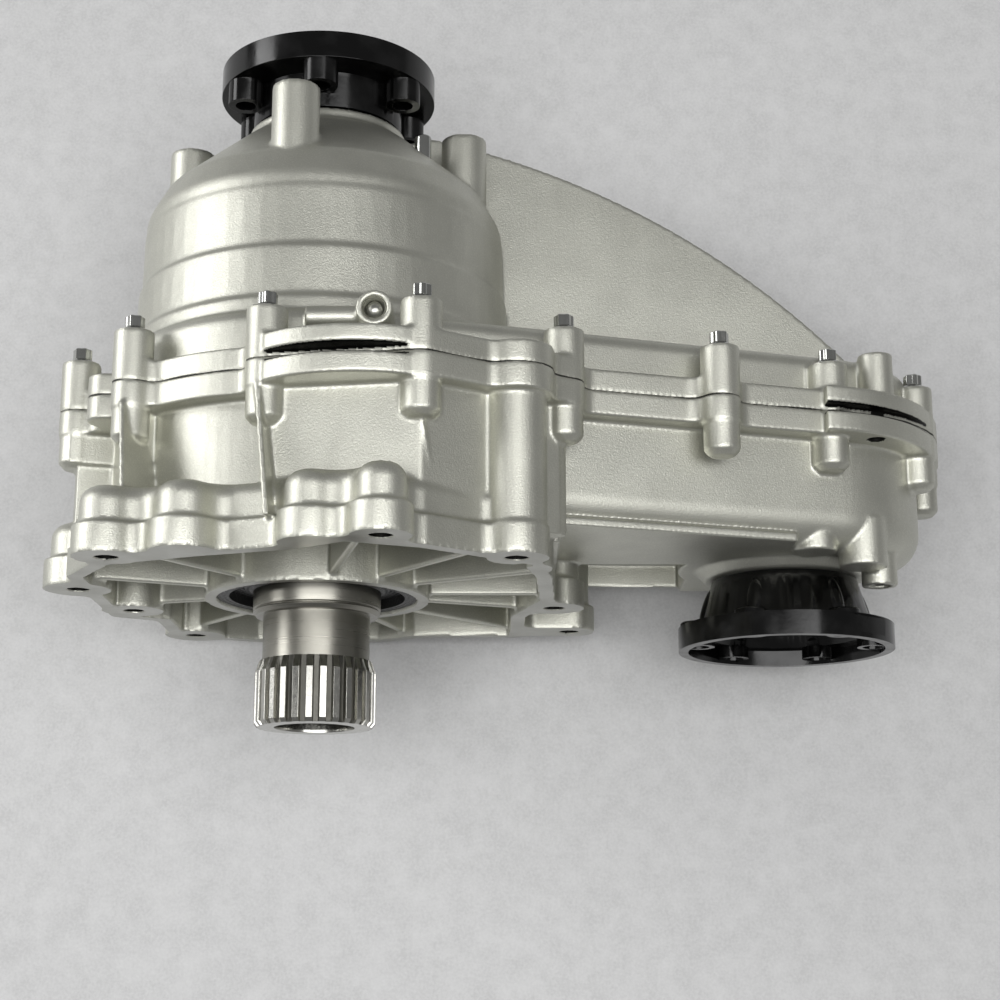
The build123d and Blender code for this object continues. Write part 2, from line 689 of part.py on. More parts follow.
def rear_hollows():
    """Everything cut out of the rear half: bell, chain cover, bores and bolt holes."""
    ceiling = CASE_REAR - WALL
    tail_boss = rod(TAIL_BEARING + WALL, ceiling - TAIL_BEARING_WIDTH, CASE_REAR, FRONT)
    cuts = [slab(belt(*chamber_radii()), SPLIT, ceiling) - tail_boss]
    cuts.append(rod(TAIL_BEARING, SPLIT, ceiling, FRONT))
    cuts += [bell_hollow(), rear_bore()]
    seat = SPLIT + BOSS_RISE
    for place in case_bolt_places():
        cuts.append(rod(BOLT_RADIUS + BOLT_CLEARANCE, SPLIT, seat, place))
        cuts.append(rod(BOLT_WASHER + 1, seat, seat + BOLT_HEAD_HEIGHT * 2, place))
    for place in case_dowel_places():
        cuts.append(rod(CASE_DOWEL_RADIUS + SEAT_GAP, SPLIT, SPLIT + CASE_DOWEL_LENGTH / 2, place))
    for angle in POST_ANGLES:
        cuts.append(rod(POST_HOLE, POST_TOP - POST_HOLE_DEPTH, POST_TOP, polar(angle, POST_CIRCLE)))
    cuts.append(along_near(PLUG_RADIUS + SEAT_GAP, MAIN_RADIUS - WALL_INSET - WALL * 2,
                           PLUG_REACH, PLUG_X, PLUG_LEVEL))
    cuts.append(rod(VENT_RADIUS + SEAT_GAP, vent_seat(), VENT_TOP, polar(*VENT)))
    return cuts


def vent_seat():
    """Level of the bottom of the vent fitting's hole in the cone."""
    slope = (CONE_END - CONE_START) / (CONE_WIDE - CONE_NARROW)
    return CONE_START + (CONE_WIDE - VENT[1]) * slope - VENT_DEPTH


def case_bolts():
    """Flanged bolts that clamp the two halves."""
    seat = SPLIT + BOSS_RISE
    shank_end = SPLIT - BLIND_DEPTH + WEB_THICKNESS * 2
    bolts = []
    for place in case_bolt_places():
        bolt = rod(BOLT_RADIUS, shank_end, seat, place)
        bolt += rod(BOLT_WASHER, seat, seat + BOLT_WASHER_HEIGHT, place)
        head = slab(RegularPolygon(BOLT_HEAD, 6), seat, seat + BOLT_HEAD_HEIGHT)
        bolts.append(bolt + Pos(*place, 0) * head)
    return Compound(children=bolts)


def case_dowels():
    """Two hollow dowels across the split."""
    half = CASE_DOWEL_LENGTH / 2
    dowels = [tube(CASE_DOWEL_RADIUS, CASE_DOWEL_BORE, SPLIT - half, SPLIT + half, place)
              for place in case_dowel_places()]
    return Compound(children=dowels)


def filler_plug():
    """Threaded plug with a hexagon socket in the boss on the near side."""
    plug = along_near(PLUG_RADIUS, PLUG_REACH - PLUG_LENGTH, PLUG_REACH - 1, PLUG_X, PLUG_LEVEL)
    socket = extrude(RegularPolygon(PLUG_RADIUS * 0.55, 6), PLUG_LENGTH / 2)
    return plug - Pos(PLUG_X, -PLUG_REACH, PLUG_LEVEL) * Rot(-90, 0, 0) * socket


def drain_plug():
    """Threaded plug in the lug at the end of the chain case."""
    plug = rod(DRAIN_RADIUS, DRAIN_END + 1, DRAIN_END + DRAIN_LENGTH, drain_place())
    socket = slab(RegularPolygon(DRAIN_RADIUS * 0.55, 6), DRAIN_END, DRAIN_END + DRAIN_LENGTH / 2)
    return plug - Pos(*drain_place(), 0) * socket


def vent_fitting():
    """Round vent fitting that stands on the cone beside the gusset wall."""
    place = polar(*VENT)
    stem = rod(VENT_RADIUS, vent_seat(), VENT_TOP, place)
    return fillet(stem.edges().group_by(Axis.Z)[-1], VENT_RADIUS / 3)


def magnet():
    """Round magnet on the floor of the chain chamber."""
    floor = BELL_DEPTH + BELL_FLOOR
    return rod(MAGNET_RADIUS, floor, floor + MAGNET_HEIGHT, polar(*MAGNET))


def snap_ring(bore, front, centre=MAIN, grip=CIRCLIP_DEPTH):
    """Open snap ring in a groove of a bore."""
    ring = tube(bore + grip - FACE_GAP, bore - CIRCLIP_DEPTH, front + SEAT_GAP,
                front + CIRCLIP_WIDTH - SEAT_GAP, centre)
    return ring - radial_wall(-90, bore / 2, bore * 2, bore / 3, front, front + CIRCLIP_WIDTH,
                              centre)


def shaft_seal(bore, shaft, front, centre=MAIN, turn=1):
    """Radial shaft seal: a cased ring with a lip that runs on the shaft."""
    depth = SEAL_DEPTH - FACE_GAP * 5
    rim = bore - SEAT_GAP
    inner = bore - (bore - shaft) / 3
    lip = shaft + RUNNING_GAP
    middle = (inner + lip) / 2
    profile = [(rim, 0), (inner, 0), (inner, depth * 0.6), (middle, depth * 0.6),
               (lip, depth * 0.3), (lip, depth * 0.7), (middle, depth), (rim, depth)]
    points = [(radius, front + level if turn > 0 else front + depth - level)
              for radius, level in profile]
    return turned(points, centre=centre)


def bearing(inner, outer, front, width, centre=MAIN):
    """Roller bearing as three solids: outer ring, inner ring and rollers."""
    middle = (inner + outer) / 2
    roller = (outer - inner) / 2 * ROLLER_SHARE
    outer_ring = tube(outer - SEAT_GAP, middle + roller + RUNNING_GAP, front, front + width, centre)
    inner_ring = tube(middle - roller - SEAT_GAP, inner + SEAT_GAP, front, front + width, centre)
    edge = width * 0.1
    rollers = [rod(roller, front + edge, front + width - edge, polar(360 / ROLLERS * step, middle,
                                                                     centre))
               for step in range(ROLLERS)]
    return outer_ring, inner_ring, Compound(children=rollers)


def toothed_plan(teeth, root, tip, root_share, tip_share):
    """Plan of straight-sided teeth, with the share of the pitch that a tooth fills."""
    pitch = 360 / teeth
    points = []
    for tooth in range(teeth):
        middle = tooth * pitch
        points.append(polar(middle - pitch * root_share / 2, root))
        points.append(polar(middle - pitch * tip_share / 2, tip))
        points.append(polar(middle + pitch * tip_share / 2, tip))
        points.append(polar(middle + pitch * root_share / 2, root))
    return Polygon(*points, align=None)


def involute(angle):
    """Involute function of an angle in radians."""
    return math.tan(angle) - angle


def gear_plan(teeth, addendum, dedendum, thickness):
    """Plan of an involute gear from its tooth heights and its thickness on the pitch circle."""
    pitch_radius = teeth * GEAR_MODULE / 2
    pressure = math.radians(PRESSURE_ANGLE)
    base = pitch_radius * math.cos(pressure)
    points = []
    flank = []
    for radius in (pitch_radius - dedendum, pitch_radius, pitch_radius + addendum):
        roll = math.acos(min(1.0, base / radius))
        half = thickness / 2 / pitch_radius + involute(pressure) - involute(roll)
        flank.append((radius, math.degrees(half)))
    for tooth in range(teeth):
        middle = tooth * 360 / teeth
        points += [polar(middle - half, radius) for radius, half in flank]
        points += [polar(middle + half, radius) for radius, half in reversed(flank)]
    return Polygon(*points, align=None)


def outer_gear(teeth, bore, low, high, turn=0.0):
    """Gear with outward teeth and a plain bore."""
    thickness = math.pi * GEAR_MODULE / 2 - BACKLASH / 2
    plan = gear_plan(teeth, ADDENDUM * GEAR_MODULE, DEDENDUM * GEAR_MODULE, thickness)
    return slab(Rot(0, 0, turn) * plan - Circle(bore), low, high)


def planet_circle():
    """Radius of the circle that the planet gears run on."""
    return (SUN_TEETH + PLANET_TEETH) * GEAR_MODULE / 2


def planet_angles():
    """Angles of the planet gears round the main shaft."""
    return [step * 360 / PLANETS for step in range(PLANETS)]


def gear_rear():
    """Level of the rear face of the differential's gears."""
    return GEAR_FRONT + GEAR_WIDTH


def planet_gear(angle):
    """One planet gear on its pin."""
    centre = polar(angle, planet_circle())
    gear = outer_gear(PLANET_TEETH, PIN_RADIUS + RUNNING_GAP, GEAR_FRONT, gear_rear(), angle)
    return Pos(*centre, 0) * gear


def planet_pins():
    """Pins of the planet gears, held in both plates of the carrier."""
    low = GEAR_FRONT - CARRIER_GAP - CARRIER_PLATE
    high = gear_rear() + CARRIER_GAP + CARRIER_PLATE
    return Compound(children=[rod(PIN_RADIUS, low, high, polar(angle, planet_circle()))
                              for angle in planet_angles()])


def planet_carrier():
    """Two plates joined by bridges between the planet gears."""
    rim = planet_circle() + PIN_RADIUS + PIN_WALL
    front_face = GEAR_FRONT - CARRIER_GAP - CARRIER_PLATE
    rear_face = gear_rear() + CARRIER_GAP + CARRIER_PLATE
    front_plate = tube(rim, SLEEVE_RADIUS + 1, front_face, front_face + CARRIER_PLATE)
    rear_plate = tube(rim, CORE_RADIUS + SEAT_GAP, rear_face - CARRIER_PLATE, rear_face)
    carrier = front_plate + rear_plate
    for angle in planet_angles():
        bridge = radial_wall(angle + 180 / PLANETS, planet_circle() - PIN_RADIUS, rim - 1,
                             BRIDGE_WIDTH, front_face + 1, rear_face - 1)
        carrier += bridge
        carrier -= rod(PIN_RADIUS + SEAT_GAP, front_face, rear_face,
                       polar(angle, planet_circle()))
    return carrier


def ring_pitch():
    """Pitch radius of the annulus gear."""
    return RING_TEETH * GEAR_MODULE / 2


def drum_disc_front():
    """Level of the front face of the drum's disc."""
    return gear_rear() + CARRIER_GAP + CARRIER_PLATE + THRUST_WASHER + FACE_GAP


def annulus_gear():
    """Drum with inward teeth, closed at the rear by the disc on the rear output shaft."""
    root = ring_pitch() + DEDENDUM * GEAR_MODULE
    front = GEAR_FRONT - DRUM_FRONT_OVERLAP
    disc = drum_disc_front()
    drum = rod(root + DRUM_WALL, front, disc + DRUM_DISC)
    drum += rod(REAR_SHAFT + WALL, disc, disc + DRUM_DISC * 2)
    thickness = math.pi * GEAR_MODULE / 2 + BACKLASH / 2
    teeth = gear_plan(RING_TEETH, DEDENDUM * GEAR_MODULE, ADDENDUM * GEAR_MODULE, thickness)
    drum -= slab(teeth, front, gear_rear())
    drum -= rod(root, gear_rear(), disc)
    return drum - rod(REAR_SHAFT + SEAT_GAP, disc, disc + DRUM_DISC * 2)


def thrust_washer():
    """Washer between the carrier and the drum."""
    rear = drum_disc_front()
    return tube(planet_circle() - PIN_RADIUS, REAR_SHAFT + 1, rear - THRUST_WASHER, rear)


def input_shaft():
    """Splined input shaft, from its hollow front end to the pilot in the rear shaft."""
    rear_seat = input_bearing_front() + INPUT_BEARING_WIDTH
    points = [(0, SHAFT_FRONT + BORE_DEPTH), (SHAFT_BORE, SHAFT_FRONT + BORE_DEPTH),
              (SHAFT_BORE, SPLINE_START), (SHAFT_NECK, SPLINE_START), (SHAFT_NECK, JOURNAL_END),
              (SEAL_JOURNAL, JOURNAL_END), (SEAL_JOURNAL, input_bearing_front()),
              (INPUT_SEAT, input_bearing_front()), (INPUT_SEAT, rear_seat),
              (CORE_RADIUS, rear_seat), (CORE_RADIUS, CORE_END), (PILOT_RADIUS, CORE_END),
              (PILOT_RADIUS, PILOT_END), (0, PILOT_END)]
    spline = toothed_plan(SPLINE_TEETH, SPLINE_ROOT, SPLINE_TIP, 0.62, 0.46)
    return turned(points) + slab(spline - Circle(SHAFT_BORE), SHAFT_FRONT, SPLINE_START)


def sprocket_pitch_radius():
    """Radius on which the chain's pins run round a sprocket."""
    return CHAIN_PITCH / 2 / math.sin(math.pi / SPROCKET_TEETH)


def sprocket(bore, centre=MAIN):
    """Chain sprocket with a plain bore."""
    tip = sprocket_pitch_radius() - CHAIN_SEAT - FACE_GAP * 2
    plan = toothed_plan(SPROCKET_TEETH, tip - SPROCKET_TOOTH, tip, 0.66, 0.3)
    low = CHAIN_MIDDLE - CHAIN_WIDTH / 2
    wheel = slab(plan - Circle(bore), low, low + CHAIN_WIDTH)
    return Pos(*centre, 0) * wheel


def drive_sprocket():
    """Sprocket with the long sleeve that carries the sun gear."""
    sleeve = tube(SLEEVE_JOURNAL, SLEEVE_BORE, sleeve_bearing_front(), sleeve_bearing_rear())
    sleeve += tube(SLEEVE_RADIUS, SLEEVE_BORE, sleeve_bearing_rear(), gear_rear())
    return sleeve + sprocket(SLEEVE_BORE)


def sleeve_bushes():
    """Two plain bushes between the sprocket's sleeve and the input shaft."""
    front = sleeve_bearing_front()
    rear = gear_rear() - BUSH_LENGTH
    bushes = [tube(SLEEVE_BORE - SEAT_GAP, CORE_RADIUS + RUNNING_GAP, low, low + BUSH_LENGTH)
              for low in (front, rear)]
    return Compound(children=bushes)


def pilot_bush():
    """Plain bush in the rear shaft, round the pilot of the input shaft."""
    return tube(PILOT_BUSH - SEAT_GAP, PILOT_RADIUS + RUNNING_GAP, drum_disc_front() + 1, PILOT_END)


def rear_output_shaft():
    """Rear output shaft, from the drum to the thread of the flange nut."""
    front = drum_disc_front()
    rear = rear_bearing_rear()
    nut_seat = REAR_FLANGE_REAR - PILOT_DEPTH
    points = [(0, PILOT_END + 1), (PILOT_BUSH, PILOT_END + 1), (PILOT_BUSH, front),
              (REAR_SHAFT, front), (REAR_SHAFT, PILOT_END + 4), (REAR_SHAFT_COLLAR, PILOT_END + 4),
              (REAR_SHAFT_COLLAR, REAR_BEARING_FRONT), (REAR_SHAFT, REAR_BEARING_FRONT),
              (REAR_SHAFT, rear), (REAR_SHAFT_SPLINE, rear), (REAR_SHAFT_SPLINE, nut_seat),
              (THREAD_RADIUS, nut_seat), (THREAD_RADIUS, nut_seat + NUT_HEIGHT + 2),
              (0, nut_seat + NUT_HEIGHT + 2)]
    return turned(points)


def hexagon_nut(level, centre=MAIN):
    """Hexagon nut that stands on a level."""
    plan = RegularPolygon(THREAD_RADIUS + NUT_WALL, 6) - Circle(THREAD_RADIUS + SEAT_GAP)
    return Pos(*centre, 0) * slab(plan, level, level + NUT_HEIGHT)


def rear_flange():
    """Drive flange of the rear output, with lugs under its rim."""
    nut_seat = REAR_FLANGE_REAR - PILOT_DEPTH
    bore = REAR_SHAFT_SPLINE + SEAT_GAP
    points = [(bore, rear_bearing_rear()), (HUB_SLEEVE, rear_bearing_rear()),
              (HUB_SLEEVE, REAR_DRUM_FRONT), (REAR_DRUM, REAR_DRUM_FRONT),
              (REAR_DRUM, REAR_FLANGE_FRONT), (REAR_FLANGE_RADIUS, REAR_FLANGE_FRONT),
              (REAR_FLANGE_RADIUS, REAR_FLANGE_REAR), (PILOT_RECESS, REAR_FLANGE_REAR),
              (PILOT_RECESS, nut_seat), (bore, nut_seat)]
    flange = turned(points)
    for step in range(REAR_HOLES):
        place = polar(REAR_HOLE_START + step * 360 / REAR_HOLES, REAR_HOLE_CIRCLE)
        flange += rod(REAR_LUG, REAR_FLANGE_FRONT - REAR_LUG_HEIGHT, REAR_FLANGE_REAR, place)
        flange -= rod(FLANGE_HOLE, REAR_DRUM_FRONT, REAR_FLANGE_REAR, place)
    return flange


def front_output_shaft():
    """Front output shaft, from the thread of the cup flange's nut to the tail bearing."""
    nut_seat = CUP_TOP - CUP_PLATE
    collar = front_bearing_rear()
    sprocket_front = CHAIN_MIDDLE - CHAIN_WIDTH / 2
    sprocket_rear = CHAIN_MIDDLE + CHAIN_WIDTH / 2
    points = [(0, nut_seat - NUT_HEIGHT - 2), (THREAD_RADIUS, nut_seat - NUT_HEIGHT - 2),
              (THREAD_RADIUS, nut_seat), (FRONT_SHAFT, nut_seat),
              (FRONT_SHAFT, FRONT_BEARING_FRONT), (FRONT_SEAT, FRONT_BEARING_FRONT),
              (FRONT_SEAT, collar), (FRONT_COLLAR, collar), (FRONT_COLLAR, sprocket_front),
              (FRONT_SEAT, sprocket_front), (FRONT_SEAT, sprocket_rear),
              (TAIL_SEAT, sprocket_rear), (TAIL_SEAT, CASE_REAR - WALL - 1),
              (0, CASE_REAR - WALL - 1)]
    return turned(points, centre=FRONT)


def front_flange():
    """Hollow cup flange of the front output, with its bolt lugs inside the rim."""
    bore = FRONT_SHAFT + SEAT_GAP
    plate = CUP_TOP - CUP_PLATE
    rim_plate = CUP_RIM_REAR - CUP_RIM_PLATE
    points = [(bore, FRONT_BEARING_FRONT), (FRONT_SLEEVE, FRONT_BEARING_FRONT),
              (FRONT_SLEEVE, CUP_TOP), (CUP_NECK, CUP_TOP), (CUP_SHOULDER, CUP_RIM_REAR),
              (CUP_RIM, CUP_RIM_REAR), (CUP_RIM, CUP_RIM_FRONT),
              (CUP_RIM - CUP_WALL, CUP_RIM_FRONT), (CUP_RIM - CUP_WALL, rim_plate),
              (CUP_SHOULDER - CUP_WALL, rim_plate), (CUP_NECK - CUP_WALL, plate), (bore, plate)]
    cup = turned(points, centre=FRONT)
    for step in range(CUP_HOLES):
        place = polar(step * 360 / CUP_HOLES, CUP_HOLE_CIRCLE, FRONT)
        lug = rod(CUP_LUG, CUP_RIM_FRONT + CUP_LUG_DROP, rim_plate, place)
        cup += lug & rod(CUP_RIM - 1, CUP_RIM_FRONT, CUP_TOP, FRONT)
        cup -= rod(FLANGE_HOLE, CUP_RIM_FRONT, CUP_RIM_REAR - CUP_RIM_PLATE / 2, place)
    return cup


def chain_point(step):
    """Place of the chain's pin after a number of pitches from the near side's tangent."""
    span = (CHAIN_LINKS - SPROCKET_TEETH) / 2
    wrap = SPROCKET_TEETH / 2
    radius = sprocket_pitch_radius()
    near = SHAFT_SLOPE - 90
    step %= CHAIN_LINKS
    if step <= span:
        x, y = polar(near, radius)
        return (x + step * CHAIN_PITCH * SLOPE_COS, y + step * CHAIN_PITCH * SLOPE_SIN)
    if step <= span + wrap:
        return polar(near + (step - span) * 180 / wrap, radius, FRONT)
    if step <= span * 2 + wrap:
        x, y = polar(near + 180, radius, FRONT)
        back = (step - span - wrap) * CHAIN_PITCH
        return (x - back * SLOPE_COS, y - back * SLOPE_SIN)
    return polar(near + 180 + (step - span * 2 - wrap) * 180 / wrap, radius)


def drive_chain():
    """Chain round both sprockets, one solid for each link pack."""
    links = []
    block = Box(CHAIN_PITCH * LINK_SHARE, CHAIN_SEAT + LINK_BACK, CHAIN_WIDTH,
                align=(Align.CENTER, Align.MIN, Align.CENTER))
    for step in range(CHAIN_LINKS):
        x_from, y_from = chain_point(step)
        x_to, y_to = chain_point(step + 1)
        turn = math.degrees(math.atan2(y_to - y_from, x_to - x_from))
        middle = Pos((x_from + x_to) / 2, (y_from + y_to) / 2, CHAIN_MIDDLE)
        links.append(middle * Rot(0, 0, turn) * Pos(0, -LINK_BACK, 0) * block)
    return Compound(children=links)


def lay_down(shape):
    """Turn a shape so that the shafts run along Y and the near side faces up."""
    return Rot(-90, 0, 0) * shape


def build_nodes():
    """Every separate piece of the transfer case under its name."""
    nodes = {
        "front_housing": front_housing(),
        "rear_housing": rear_housing(),
        "case_bolts": case_bolts(),
        "case_dowels": case_dowels(),
        "filler_plug": filler_plug(),
        "drain_plug": drain_plug(),
        "vent_fitting": vent_fitting(),
        "magnet": magnet(),
        "input_seal": shaft_seal(SEAL_BORE, SEAL_JOURNAL, FACE_GAP * 5),
        "input_circlip": snap_ring(INPUT_BEARING, SEAL_DEPTH),
        "rear_seal": shaft_seal(REAR_BEARING, HUB_SLEEVE, NECK_END - SEAL_DEPTH, turn=-1),
        "rear_circlip": snap_ring(REAR_BEARING, rear_bearing_rear(), grip=CIRCLIP_DEPTH / 2),
        "front_seal": shaft_seal(FRONT_SEAL_BORE, FRONT_SLEEVE, SNOUT_END + FACE_GAP * 5, FRONT),
        "front_circlip": snap_ring(FRONT_BEARING, front_bearing_rear(), FRONT),
        "drive_chain": drive_chain(),
        "drive_sprocket": drive_sprocket(),
        "sun_gear": outer_gear(SUN_TEETH, SLEEVE_RADIUS + SEAT_GAP, GEAR_FRONT, gear_rear()),
        "sleeve_bushes": sleeve_bushes(),
        "input_shaft": input_shaft(),
        "planet_carrier": planet_carrier(),
        "planet_pins": planet_pins(),
        "annulus_gear": annulus_gear(),
        "thrust_washer": thrust_washer(),
        "pilot_bush": pilot_bush(),
        "rear_output_shaft": rear_output_shaft(),
        "rear_flange": rear_flange(),
        "rear_nut": hexagon_nut(REAR_FLANGE_REAR - PILOT_DEPTH),
        "driven_sprocket": sprocket(FRONT_SEAT + SEAT_GAP, FRONT),
        "front_output_shaft": front_output_shaft(),
        "front_flange": front_flange(),
        "front_nut": hexagon_nut(CUP_TOP - CUP_PLATE - NUT_HEIGHT, FRONT),
    }
    for number, angle in enumerate(planet_angles(), 1):
        nodes[f"planet_gear_{number}"] = planet_gear(angle)
    bearings = {
        "input_bearing": (INPUT_SEAT, INPUT_BEARING, input_bearing_front(),
                          INPUT_BEARING_WIDTH, MAIN),
        "sprocket_bearing": (SLEEVE_JOURNAL, SLEEVE_BEARING, sleeve_bearing_front(),
                             SLEEVE_BEARING_WIDTH, MAIN),
        "rear_bearing": (REAR_SHAFT, REAR_BEARING, REAR_BEARING_FRONT, REAR_BEARING_WIDTH, MAIN),
        "front_bearing": (FRONT_SEAT, FRONT_BEARING, FRONT_BEARING_FRONT,
                          FRONT_BEARING_WIDTH, FRONT),
        "tail_bearing": (TAIL_SEAT, TAIL_BEARING, CASE_REAR - WALL - TAIL_BEARING_WIDTH,
                         TAIL_BEARING_WIDTH, FRONT),
    }
    for name, sizes in bearings.items():
        outer_ring, inner_ring, rollers = bearing(*sizes)
        nodes[f"{name}_outer"] = outer_ring
        nodes[f"{name}_inner"] = inner_ring
        nodes[f"{name}_rollers"] = rollers
    return nodes


os.makedirs("parts", exist_ok=True)
for node_name, node_shape in build_nodes().items():
    laid = lay_down(node_shape)
    laid.label = node_name
    export_step(laid, f"parts/{node_name}.step")
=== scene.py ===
import json
import math

import bmesh
import bpy
from mathutils import Matrix, Vector


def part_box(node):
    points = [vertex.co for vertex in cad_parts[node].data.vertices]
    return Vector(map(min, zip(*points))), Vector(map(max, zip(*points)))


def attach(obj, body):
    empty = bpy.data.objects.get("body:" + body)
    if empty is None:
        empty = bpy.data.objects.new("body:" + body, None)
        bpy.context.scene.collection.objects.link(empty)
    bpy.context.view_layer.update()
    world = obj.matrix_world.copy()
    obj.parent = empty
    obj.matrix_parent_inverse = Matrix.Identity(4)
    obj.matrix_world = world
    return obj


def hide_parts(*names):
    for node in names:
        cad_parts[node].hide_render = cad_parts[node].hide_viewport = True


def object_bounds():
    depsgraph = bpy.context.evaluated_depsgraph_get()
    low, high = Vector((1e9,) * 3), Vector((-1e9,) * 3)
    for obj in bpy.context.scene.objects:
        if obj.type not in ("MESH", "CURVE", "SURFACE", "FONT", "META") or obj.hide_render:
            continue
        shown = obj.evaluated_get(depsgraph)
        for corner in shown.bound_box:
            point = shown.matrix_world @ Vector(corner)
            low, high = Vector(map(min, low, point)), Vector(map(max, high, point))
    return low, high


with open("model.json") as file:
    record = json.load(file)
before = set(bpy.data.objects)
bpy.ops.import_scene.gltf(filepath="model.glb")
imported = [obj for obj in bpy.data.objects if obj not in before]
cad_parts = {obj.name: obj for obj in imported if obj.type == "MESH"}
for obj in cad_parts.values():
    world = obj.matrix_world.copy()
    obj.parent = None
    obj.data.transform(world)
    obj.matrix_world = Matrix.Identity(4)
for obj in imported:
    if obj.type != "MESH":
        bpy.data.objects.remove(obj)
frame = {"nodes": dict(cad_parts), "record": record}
CAD_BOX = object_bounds()

bl_info = {
    "name": "Transfer case",
    "version": (1, 0, 0),
    "blender": (4, 5, 0),
    "location": "3D View > Sidebar > Transfer case",
    "description": "Dresses the packed transfer case with cast, machined, plated and "
                   "painted finishes",
    "category": "Object",
}

MM = 0.001

# Levels along the shafts where the castings are machined, and the reach of the machined skin
MOUNTING_FACE = 0.0
SPLIT = 0.087
BOLT_SEAT = 0.112
POST_TOP = 0.243
NECK_END = 0.248
MACHINED_LEVELS = (MOUNTING_FACE, SPLIT, BOLT_SEAT, POST_TOP, NECK_END)
FACE_SKIN = 0.35 * MM
# Least share of a normal along the shafts on a machined face, and in a pry slot
FACE_LEAN = 0.97
SLOT_LEAN = 0.6
# Pry slots: how far from the split their painted shade starts, and half their width
SLOT_SKIN = 1.2 * MM
SLOT_HALF = 2.2 * MM
# Drilled holes: levels between which their walls are painted dark as shade, and how far past the
# wall that reaches
BORE_START = 0.4 * MM
BORE_END = 32 * MM
BORE_SKIN = 0.6 * MM
# x, z, radius and levels of the drilled hole in the ear at the chain's end
END_EAR_BORE = (0.277, 0.031, 0.004, 0.0752, 0.0908)
# Each casting is two pieces of at most this many triangles
MOST_TRIANGLES = 194000

# Case bolts: rises of the flange and the share that each draws it in by, then the lobed head, the
# steps of its dished top, the shank, and the angle from one bolt to the next
BOLT_FLANGE_STEPS = ((0.9 * MM, 1.0), (0.3 * MM, 0.95), (0.9 * MM, 0.84), (0.3 * MM, 0.9))
BOLT_LOBES = 6
POINTS_PER_LOBE = 8
LOBE_DEPTH = 0.085
HEAD_FOOT = 0.05 * MM
HEAD_HEIGHT = 5.0 * MM
HEAD_TOP_STEPS = ((0.5 * MM, 0.88), (0.0, 0.62), (-0.6 * MM, 0.8))
SHANK_RADIUS = 4.0 * MM
BOLT_TURN = 37.0

# Input shaft: levels and radii of the teeth's chamfered ends, of the collar and of its groove
TEETH_END = -0.031
TEETH_NOSE = 2.0 * MM
TEETH_RUNOUT = 6.0 * MM
NOSE_RADIUS = 28.4 * MM
GROUND_RADIUS = 27.9 * MM
BORE_RADIUS = 24.0 * MM
COLLAR_END = -0.0084
COLLAR_EDGE = 30.2 * MM
GROOVE_START = 2.6 * MM
GROOVE_FLOOR = 0.4 * MM
GROOVE_FLANK = 0.5 * MM
GROOVE_RADIUS = 31.0 * MM
# Steepest share of a normal along the shafts on the walls between the teeth
TOOTH_LEAN = 0.3

# Cup flange: milled flat and drilling in its rim, and the pads and ribs behind its bolt holes,
# with places from its axis
CUP_HOLES = 6
FLAT_BLOCK = (10 * MM, 9 * MM, 40 * MM)
FLAT_DEPTH = 1.6 * MM
FLAT_LEVEL = -12 * MM
FLAT_TURN = -50.0
DRILL_RADIUS = 2 * MM
DRILL_DEPTH = 8 * MM
DRILL_LEVEL = -13 * MM
PAD_RADIUS = 8.4 * MM
PAD_PLACE = (46.4 * MM, -8 * MM, 0)
PAD_STEPS = ((3.2 * MM, 0.97), (0.8 * MM, 0.9), (0.2 * MM, 0.8))
RIB_PLACE = (40.4 * MM, 2 * MM, 0)
RIB_TILT = 16.0
RIB_HALVES = (3.2 * MM, 13 * MM, 4.6 * MM)

# Ball plug: chamfer of its ring, the lip staked over the ball, the seat below it, and how far the
# ball is sunk
RING_CHAMFER = 0.6 * MM
LIP_GAP = 0.7 * MM
LIP_FALL = 1.0 * MM
SEAT_GAP = 0.35 * MM
SEAT_FALL = 3.5 * MM
SEAT_SHARE = 0.9
BALL_SUNK = 0.4 * MM

# Angles in degrees: triangles that count as one flat face, edges that are broken, and edges that
# stay sharp when a piece is shaded smooth
FLAT_ANGLE = 1.0
FLANGE_BREAK, SHAFT_BREAK = 30.0, 28.0
CASTING_SHARP, BOLT_SHARP, TURNED_SHARP, PAD_SHARP, PLUG_SHARP = 50.0, 28.0, 25.0, 32.0, 30.0
# Shares of the edge break that the forged flanges and the ground shaft get
FLANGE_EDGE, SHAFT_EDGE = 1.6, 0.5
# Reach within which a copy's vertices are merged, and within which one lies on a placed level and
# on a cut one
MERGE_REACH = 0.02 * MM
ON_LEVEL = 0.01 * MM
NEAR_LEVEL = 0.1 * MM

# Where the photograph was taken from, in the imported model's frame
CAMERA_PLACE = (0.09135, -0.1719, 0.9255)
CAMERA_TILT = 13.6
CAMERA_LENS = 67.68
SENSOR = 36.0

# Stage: what the lamps point at, the floor's width, and the lamps' places and sizes
MIDDLE = (0.1, 0.1, 0.0)
FLOOR_WIDTH = 6.0
KEY_PLACE, KEY_SIZE = (-2.3, 0.7, 0.9), (1.8, 1.0)
FILL_PLACE, FILL_SIZE = (0.15, -0.2, 1.75), (2.2, 0.9)


